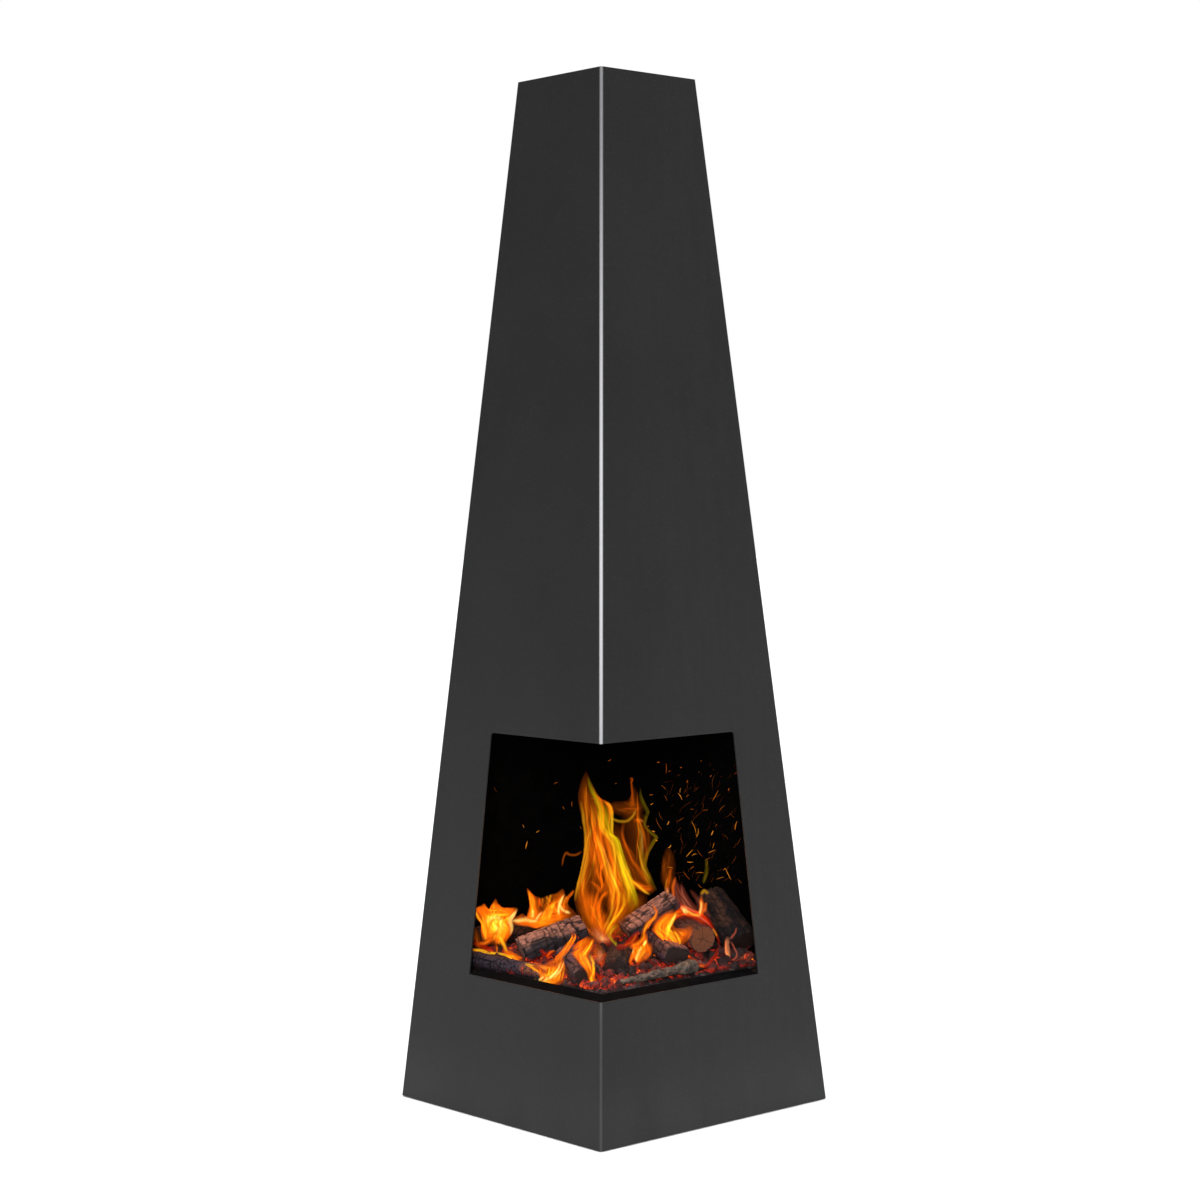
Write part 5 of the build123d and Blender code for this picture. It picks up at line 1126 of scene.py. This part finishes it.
def flame_field(items, X, Y, x0, y0, h, seed):
    E = np.zeros(X.shape + (3,))
    T = np.ones(X.shape)
    K = np.ones(X.shape)
    mask = 1.0
    rng = np.random.default_rng(seed)
    for it in items:
        if it[0] == "M":
            mask = trim(X, Y, it[2], it[1]) if it[2] else 1.0
            continue
        if it[0] == "F":                                   # fine streaks between two guides
            _, count, power, left, right, hues = it
            a, b = curve_through([(x, y, 0) for x, y in left], 10)[:, :2], curve_through([(x, y, 0) for x, y in right], 10)[:, :2]
            m = np.linspace(0, 1, 60)

            def at(c):
                L = np.concatenate(([0], np.cumsum(np.hypot(*np.diff(c, axis=0).T))))
                return np.stack([np.interp(m * L[-1], L, c[:, k]) for k in (0, 1)], 1)
            a, b = at(a), at(b)
            for _k in range(count):
                f0, f1 = np.sort(rng.uniform(0, 1, 2)) if rng.random() < 0.5 else rng.uniform(0, 1, 2)
                w = lerp(f0, f1, m) + 0.06 * np.sin(m * rng.uniform(3, 9) + rng.uniform(0, 6))
                s0 = rng.uniform(0, 0.55)
                s1 = min(1, s0 + rng.uniform(0.25, 0.7))
                sel = (m >= s0) & (m <= s1)
                c = (a + (b - a) * w[:, None])[sel]
                q = np.column_stack([c, rng.uniform(0.5, 1.5) * np.sin(np.linspace(0.15, 3.0, len(c)))])
                best = ribbon(np.zeros(X.shape), X, Y, q, x0, y0, h) * mask
                hue = np.array(HUES[rng.choice(list(hues))])
                I = power * rng.uniform(0.3, 1.0)
                if rng.random() < 0.36:
                    K *= 1 - 0.75 * I * best
                else:
                    E += best[..., None] * I * hue
                    T *= 1 - np.clip(0.85 * I * best, 0, 1)
            continue
        hue, I, pts = it
        q = curve_through(pts)
        wide = q[:, 2].max()
        best = ribbon(np.zeros(X.shape), X, Y, q, x0, y0, h) * mask
        if hue == "x":
            K *= 1 - I * best
            continue
        body = 0.60 if wide > 1.7 else 1.0
        E += best[..., None] * I * body * np.array(HUES[hue])
        T *= 1 - np.clip(0.85 * I * best, 0, 1)
        if wide > 1.7:                                     # silk: finer tongues running with the broad one
            step = np.gradient(q[:, :2], axis=0)
            nrm = np.column_stack([-step[:, 1], step[:, 0]]) / (np.hypot(step[:, 0], step[:, 1])[:, None] + 1e-9)
            m = np.linspace(0, 1, len(q))
            for _k in range(int(min(13, 2 + wide * 1.5))):
                side = rng.uniform(-0.9, 0.9) + rng.uniform(0.1, 0.35) * np.sin(m * rng.uniform(3, 8) + rng.uniform(0, 6))
                s0 = rng.uniform(0, 0.5)
                s1 = min(1.0, s0 + rng.uniform(0.3, 0.8))
                sel = (m >= s0) & (m <= s1)
                if sel.sum() < 4:
                    continue
                c = (q[:, :2] + nrm * (np.clip(side, -0.95, 0.95) * q[:, 2])[:, None])[sel]
                thin = rng.uniform(0.35, 1.0) * (0.6 + 0.08 * wide) * np.sin(np.linspace(0.15, 3.0, len(c)))
                best = ribbon(np.zeros(X.shape), X, Y, np.column_stack([c, thin]), x0, y0, h, 1.0) * mask
                power = I * rng.uniform(0.25, 0.85)
                if rng.random() < 0.38:
                    K *= 1 - 0.55 * power * best
                else:
                    tint = BRIGHTER.get(hue, hue) if rng.random() < 0.28 else hue
                    E += best[..., None] * power * 0.8 * np.array(HUES[tint])
                    T *= 1 - np.clip(0.85 * power * best, 0, 1)
    return E * K[..., None], (1 - T) * np.sqrt(K)


def flame_material(name):
    g = Graph(name)
    p = g.object_coords()
    col = g.attr("Col").outputs["Color"]
    thick = g.attr("Thick").outputs["Fac"]
    wisp = g.noise(g.scaled(p, 1.0, 1.0, 0.28), 260.0, 3.0, 0.55, 0.6)
    k = g.math("MULTIPLY_ADD", wisp, 0.62, 0.68)
    light = g.mix(1.0, col, grey(g, k), "MULTIPLY")
    g.principled(Base_Color=(0.0, 0.0, 0.0), Roughness=g.math("MULTIPLY_ADD", wisp, 0.2, 0.8), Normal=g.bump(wisp, 0.0006, 0.3),
                 Specular_IOR_Level=0.0, Emission_Color=light, Emission_Strength=1.0, Alpha=thick)
    g.mat.cycles.emission_sampling = "NONE"
    return g.mat


flame_mat = flame_material("flame")


def flame_piece(name, turn, px, py, items, seed, h=0.6):
    xs, ys = [], []
    for it in items:
        if it[0] in "MF":
            continue
        for (x, y, w) in it[2]:
            xs += [x - 2.4 * w, x + 2.4 * w]
            ys += [y - 2.4 * w, y + 2.4 * w]
    x0, x1, y0, y1 = min(xs) - 1, max(xs) + 1, min(ys) - 1, max(ys) + 1
    X, Y = np.meshgrid(np.arange(x0, x1, h), np.arange(y0, y1, h))
    flat = np.stack([X.ravel(), Y.ravel(), np.full(X.size, seed * 9.1)], 1)
    sway = 0.5 if y1 - y0 > 110 else 1.0                         # tall flames run smoother than low ones
    wx = ((fbm(flat, 0.11, seed, 2) - 0.5) * 2.0 * sway + (fbm(flat, 0.26, seed + 1, 2) - 0.5) * 0.9 * sway).reshape(X.shape)
    wy = ((fbm(flat, 0.10, seed + 2, 2) - 0.5) * 1.2 * sway).reshape(X.shape)
    E, A = flame_field(items, X + wx, Y + wy, x0, y0, h, seed)
    A = np.clip(A, 0, 0.985)
    keep = A > 0.025
    cell = keep[:-1, :-1] & keep[1:, :-1] & keep[1:, 1:] & keep[:-1, 1:]
    ny, nx = X.shape
    idx = np.arange(nx * ny).reshape(ny, nx)
    q = np.stack([idx[:-1, :-1], idx[:-1, 1:], idx[1:, 1:], idx[1:, :-1]], -1)[cell]
    used = np.unique(q)
    back = np.full(nx * ny, -1)
    back[used] = np.arange(len(used))
    q = back[q]
    c, s = math.cos(math.radians(turn)), math.sin(math.radians(turn))
    ux, uy = X.ravel()[used] / 1000, Y.ravel()[used] / 1000
    lean = (fbm(flat, 0.045, seed + 5, 2).ravel()[used] - 0.5) * 0.010
    half = 0.0004 + 0.0022 * np.sqrt(A.ravel()[used])
    # rim vertices close the body
    e = np.concatenate([q[:, [0, 1]], q[:, [1, 2]], q[:, [2, 3]], q[:, [3, 0]]])
    key = np.sort(e, 1)
    _, inv, cnt = np.unique(key, axis=0, return_inverse=True, return_counts=True)
    inv = inv.ravel()
    rim = e[cnt[inv] == 1]
    ox, oy = px / 1000.0 + FIRE[0], py / 1000.0 + FIRE[1]

    def solid(sign):
        off = lean + sign * half
        return np.stack([ox + ux * c + off * -s, oy + ux * s + off * c, FIRE[2] + uy], 1)
    front, rear = solid(-1), solid(1)
    n = len(used)
    walls = np.stack([rim[:, 1], rim[:, 0], rim[:, 0] + n, rim[:, 1] + n], -1)
    a = A.ravel()[used]
    one = 1 - np.sqrt(1 - a)                                # two walls together give the whole
    col = E.reshape(-1, 3)[used] / np.maximum(a, 0.05)[:, None]
    return mesh_piece(name, np.vstack([front, rear]), [np.vstack([q, q[:, ::-1] + n, walls])], flame_mat,
                      colour=np.clip(np.vstack([col, col]) * GAIN, 0, 6), extra={"Thick": np.concatenate([one, one])})


GAIN = 1.14
for i, (name, turn, px, py, items) in enumerate(FLAMES):
    o = flame_piece(name, turn, px, py, items, 11 + 3 * i)

# ---------------------------------------------------------------- sparks
SPARKS = {"placed": [(-88.3, 112.6, 2.2, 8.6, 0.9, 0.73, -60), (-76.9, 129.7, 3.8, 2.7, 0.5, 0.77, -60), (-91.3, 138.8, 1.6, -3.7, 0.5, 0.69, -60), (-57.4, 182.0, 4.3, 1.6, 0.6, 0.39, -60), (-38.3, 163.9, -0.0, -6.4, 0.7, 0.39, -60), (-47.9, 158.6, 1.6, -3.7, 0.5, 0.52, -60), (-124.6, 175.6, 3.2, -6.4, 0.3, 0.21, -60), (0.3, 206.5, 3.2, 2.1, 0.9, 0.34, -60), (7.5, 182.0, 2.1, 1.1, 0.4, 0.52, -60), (-30.0, 137.2, 2.1, -3.2, 0.4, 0.43, -60), (-19.1, 167.1, 7.4, -1.1, 0.8, 0.47, -60), (44.6, 159.7, 3.2, 2.1, 0.8, 0.65, -60), (43.6, 170.3, 4.2, 0.0, 0.7, 0.52, -60), (56.4, 181.0, 5.3, -5.3, 0.4, 0.52, -60), (59.5, 170.3, 3.1, -6.4, 0.4, 0.39, -60), (54.1, 152.2, 4.2, -8.5, 0.35, 0.39, -60), (50.9, 145.8, 6.3, -12.8, 0.35, 0.52, -60), (62.5, 138.4, 2.1, 4.3, 0.9, 0.73, -60), (63.4, 113.9, 3.2, 3.2, 1.0, 0.82, -60), (30.7, 143.7, 6.4, -2.1, 1.8, 0.6, -60), (46.5, 132.0, 3.2, -1.1, 1.2, 0.73, -60), (49.7, 122.4, 2.6, -1.1, 1.0, 0.77, -60), (41.3, 137.3, 2.1, -1.1, 0.8, 0.52, -60), (61.8, 204.4, -0.1, -11.7, 0.6, 0.39, -60), (52.3, 204.4, 3.2, 1.1, 0.8, 0.52, -60), (76.6, 199.0, 2.1, 1.1, 0.8, 0.52, -60), (63.9, 194.8, 3.2, 1.1, 0.5, 0.43, -60), (83.9, 183.1, 1.1, 3.2, 0.7, 0.52, -60), (74.3, 172.4, 4.2, -7.4, 0.6, 0.77, -60), (77.5, 177.8, -1.1, -5.3, 0.5, 0.69, -60), (110.3, 161.8, 6.4, 11.7, 0.6, 0.56, -60), (117.6, 149.1, 6.4, 7.4, 0.45, 0.43, -60), (132.6, 187.3, 8.5, 7.4, 0.3, 0.3, -60), (95.3, 135.2, -2.2, -10.7, 0.5, 0.73, -60), (88.0, 142.7, 5.2, -13.8, 0.5, 0.73, -60), (93.2, 128.8, 1.0, -2.1, 0.5, 0.69, -60), (109.1, 125.6, 2.1, 5.3, 1.0, 0.77, -60), (134.5, 127.8, 2.2, 9.6, 0.9, 0.6, -60), (99.7, 153.3, 6.4, 0.0, 0.4, 0.47, -60), (87.0, 155.4, 4.2, 0.0, 0.4, 0.52, -60), (100.5, 104.3, -6.3, 8.5, 0.4, 0.43, -60), (82.5, 104.3, 7.5, 8.5, 0.6, 0.77, -60), (88.8, 105.4, 5.3, 2.1, 0.6, 0.77, -60), (83.5, 99.0, 6.4, 0.0, 0.7, 0.77, -60), (105.8, 107.5, 7.4, 3.2, 0.5, 0.73, -60), (110.0, 111.8, 2.1, 6.4, 0.5, 0.65, -60), (102.6, 100.1, 5.3, 3.2, 0.45, 0.43, -60), (127.0, 118.2, -6.3, 6.4, 0.3, 0.3, -60), (113.3, 134.2, 2.1, 3.2, 0.4, 0.43, -60), (103.6, 94.7, 2.1, 5.3, 0.4, 0.43, -60), (62.2, 93.6, 6.4, -1.1, 0.6, 0.73, -60), (86.6, 91.5, 4.3, 3.2, 0.8, 0.52, -60), (93.0, 87.2, 8.5, 0.0, 0.6, 0.65, -60), (123.7, 89.4, 6.3, -12.8, 0.6, 0.73, -60), (121.6, 87.3, 3.2, 2.1, 0.5, 0.69, -60), (114.1, 78.8, 8.5, 2.2, 0.5, 0.6, -60), (79.2, 89.4, 7.4, -9.6, 0.5, 0.43, -60), (95.0, 75.5, 4.2, -4.3, 0.5, 0.52, -60), (137.4, 75.6, 4.2, -4.3, 0.4, 0.34, -60), (135.4, 101.2, -5.3, -9.6, 0.3, 0.3, -60), (144.1, 165.0, -3.2, -12.8, 0.3, 0.26, -60), (140.8, 119.3, -5.3, -9.6, 0.3, 0.26, -60), (127.3, 170.3, 1.1, 3.2, 0.8, 0.52, -60), (82.8, 168.2, 3.2, 2.1, 0.5, 0.52, -60), (97.8, 205.4, 2.1, -0.0, 0.6, 0.34, -60), (108.3, 187.3, 1.1, 2.1, 0.8, 0.47, -60), (73.1, 141.6, 7.4, 4.3, 0.4, 0.43, -60), (79.3, 116.0, -3.1, 8.5, 0.3, 0.3, -60)], "field": ((50.4, 135.6), (73.2, 201.7)), "count": 95, "cx": 0}


def spark_material(name):
    g = Graph(name)
    p = g.object_coords()
    n = g.noise(p, 300.0, 2.0, 0.5)
    heat = g.attr("Glow").outputs["Fac"]
    hot = g.ramp(heat, ((0.0, (0.05, 0.008, 0.001)), (0.5, (0.30, 0.062, 0.004)), (1.0, (0.95, 0.34, 0.025))))
    light = g.mix(1.0, hot, grey(g, g.math("MULTIPLY_ADD", n, 0.8, 0.6)), "MULTIPLY")
    g.principled(Base_Color=(0.0, 0.0, 0.0), Roughness=g.math("MULTIPLY_ADD", n, 0.2, 0.7), Normal=g.bump(n, 0.0002, 0.3),
                 Specular_IOR_Level=0.0, Emission_Color=light, Emission_Strength=1.0)
    g.mat.cycles.emission_sampling = "NONE"
    return g.mat


def spark_shower():
    """Sparks drawn out along their flight: slim bent spindles, closed at both ends."""
    rng = np.random.default_rng(77)
    streaks = [tuple(s) for s in SPARKS["placed"]]
    (xa, xb), (za, zb) = SPARKS["field"]
    for _ in range(SPARKS["count"]):
        x = xa + (xb - xa) * rng.beta(1.5, 1.2)
        z = za + (zb - za) * rng.random() ** 1.25
        ang = math.radians(rng.normal(62, 26))
        L = rng.gamma(2.2, 2.6) + 1.0
        streaks.append((x, z, L * math.cos(ang), L * math.sin(ang), rng.uniform(0.10, 0.20), rng.uniform(0.05, 0.62) ** 1.3, rng.uniform(-74, -18)))
    V, F, H = [], [], []
    at = 0
    sides = 6
    for (x, z, dx, dz, w, heat, y) in streaks:
        room = 172 - 0.124 * z - abs(x + SPARKS["cx"])
        y = max(y, -max(room, 8)) if y < 0 else y
        a = np.array((x, y, z))
        d = np.array((dx, 0.25 * dx * rng.normal(), dz))
        L = np.linalg.norm(d) + 1e-9
        t = np.linspace(0, 1, 9)
        bend = np.cross(d / L, (0, 1, 0)) * rng.normal() * 0.08 * L
        line = a + d * t[:, None] + bend * (t * (1 - t) * 4)[:, None]
        u = np.cross(d / L, (0, 1, 0))
        u /= np.linalg.norm(u) + 1e-9
        vdir = np.cross(d / L, u)
        prof = np.sin(np.linspace(0.02, math.pi - 0.02, 9)) ** 0.6 * w * 0.52
        ang = np.arange(sides) / sides * 2 * math.pi
        rings = line[:, None] + prof[:, None, None] * (np.cos(ang)[None, :, None] * u + np.sin(ang)[None, :, None] * vdir)
        rings = rings.reshape(-1, 3)
        idx = np.arange(9 * sides).reshape(9, sides) + at
        nx = np.roll(idx, -1, 1)
        F.append(np.stack([idx[:-1], nx[:-1], nx[1:], idx[1:]], -1).reshape(-1, 4))
        F.append(idx[0][::-1].reshape(1, -1)[:, [0, 1, 2, 3]])
        F.append(idx[0][::-1].reshape(1, -1)[:, [0, 3, 4, 5]])
        F.append(idx[-1].reshape(1, -1)[:, [0, 1, 2, 3]])
        F.append(idx[-1].reshape(1, -1)[:, [0, 3, 4, 5]])
        V.append(rings)
        H.append(np.full(9 * sides, heat))
        at += 9 * sides
    V = np.vstack(V) / 1000.0 + np.array((FIRE[0], FIRE[1], FIRE[2]))
    return mesh_piece("sparks", V, [np.vstack(F)], spark_material("spark"), glow=np.concatenate(H))


spark_shower()

# ---------------------------------------------------------------- stage
def floor_material(name):
    g = Graph(name)
    p = g.object_coords()
    n = g.noise(p, 3.0, 3.0, 0.5)
    g.principled(Base_Color=g.ramp(n, ((0.3, (0.86, 0.86, 0.86)), (0.7, (0.90, 0.90, 0.90)))), Roughness=g.math("MULTIPLY_ADD", n, 0.1, 0.7),
                 Normal=g.bump(g.noise(p, 60.0, 2.0, 0.5), 0.0005, 0.1), Specular_IOR_Level=0.1)
    return g.mat


def backdrop():
    """Pale flat floor reaching far out on every side."""
    rings, seg = [], 96
    prof = [(0.0, 0.0), (1.0, 0.0), (3.0, 0.0), (6.0, 0.0), (12.0, 0.0), (24.0, 0.0)]
    V = [(0, 0, float(LO[2]) - 0.0002)]
    for r, z in prof[1:]:
        V += [(r * math.cos(2 * math.pi * k / seg), r * math.sin(2 * math.pi * k / seg), float(LO[2]) - 0.0002 + z) for k in range(seg)]
    tri = [(0, 1 + k, 1 + (k + 1) % seg) for k in range(seg)]
    quads = []
    for i in range(len(prof) - 2):
        a, b = 1 + i * seg, 1 + (i + 1) * seg
        quads += [(a + k, b + k, b + (k + 1) % seg, a + (k + 1) % seg) for k in range(seg)]
    me = bpy.data.meshes.new("studio_floor")
    me.from_pydata(V, [], tri + quads)
    me.update()
    o = bpy.data.objects.new("studio_floor", me)
    bpy.context.scene.collection.objects.link(o)
    me.materials.append(floor_material("pale_floor"))
    return o


backdrop()

scene = bpy.context.scene
scene.view_settings.view_transform = "Standard"
scene.view_settings.look = "None"
scene.view_settings.exposure = 0.0
scene.view_settings.gamma = 1.0
scene.cycles.transparent_max_bounces = 48

world = bpy.data.worlds.new("studio")
scene.world = world
world.use_nodes = True
w = Graph("studio", world)
gen = w.new("ShaderNodeTexCoord").outputs["Generated"]
s = w.new("ShaderNodeSeparateXYZ")
w.link(gen, s.inputs[0])
wx, wy, wz = s.outputs
above = w.span(wz, 0.45, 0.80, 0.0, 1.0)
sideways = w.span(w.math("ABSOLUTE", wx), 0.35, 0.85)
level = w.math("MULTIPLY_ADD", sideways, WORLD_SIDE, WORLD_BASE)
level = w.math("MULTIPLY_ADD", w.math("MULTIPLY", sideways, w.span(wz, 0.0, 0.35)), WORLD_FLAG, level)
level = w.math("MULTIPLY_ADD", w.math("MULTIPLY", w.span(wx, 0.2, 0.9), 1.0), WORLD_RIGHT, level)
level = w.math("MULTIPLY_ADD", above, WORLD_TOP, level)
lit = w.new("ShaderNodeBackground")
lit.inputs["Color"].default_value = (1, 1, 1, 1)
w.link(level, lit.inputs["Strength"])
seen = w.new("ShaderNodeBackground")
seen.inputs["Color"].default_value = (1, 1, 1, 1)
seen.inputs["Strength"].default_value = 1.0
path = w.new("ShaderNodeLightPath")
both = w.new("ShaderNodeMixShader")
w.link(path.outputs["Is Camera Ray"], both.inputs[0])
w.link(lit.outputs[0], both.inputs[1])
w.link(seen.outputs[0], both.inputs[2])
wo = w.new("ShaderNodeOutputWorld")
w.link(both.outputs[0], wo.inputs[0])


def area(name, where, aim, size, power, colour=(1, 1, 1), spread=180):
    L = bpy.data.lights.new(name, "AREA")
    L.shape = "RECTANGLE"
    L.size, L.size_y = size
    L.energy = power
    L.color = colour
    L.spread = math.radians(spread)
    o = bpy.data.objects.new(name, L)
    bpy.context.scene.collection.objects.link(o)
    o.location = where
    o.rotation_euler = (Vector(aim) - Vector(where)).to_track_quat("-Z", "Y").to_euler()
    return o


area("front_softbox", FRONT_AT, (0, 0, 0.55), FRONT_SIZE, FRONT_POWER)


def glow(name, where, power, radius, colour):
    L = bpy.data.lights.new(name, "POINT")
    L.energy = power
    L.shadow_soft_size = radius
    L.color = colour
    o = bpy.data.objects.new(name, L)
    bpy.context.scene.collection.objects.link(o)
    o.location = where
    return o


glow("fire_glow_tall", (FIRE[0], FIRE[1] - 0.088, FIRE[2] + 0.075), GLOW_POWER, 0.02, (1.0, 0.50, 0.18))
glow("fire_glow_left", (FIRE[0] - 0.105, FIRE[1] - 0.030, FIRE[2] + 0.050), GLOW_POWER * 0.6, 0.015, (1.0, 0.45, 0.14))
glow("fire_glow_right", (FIRE[0] + 0.070, FIRE[1] - 0.080, FIRE[2] + 0.035), GLOW_POWER * 0.45, 0.012, (1.0, 0.40, 0.14))
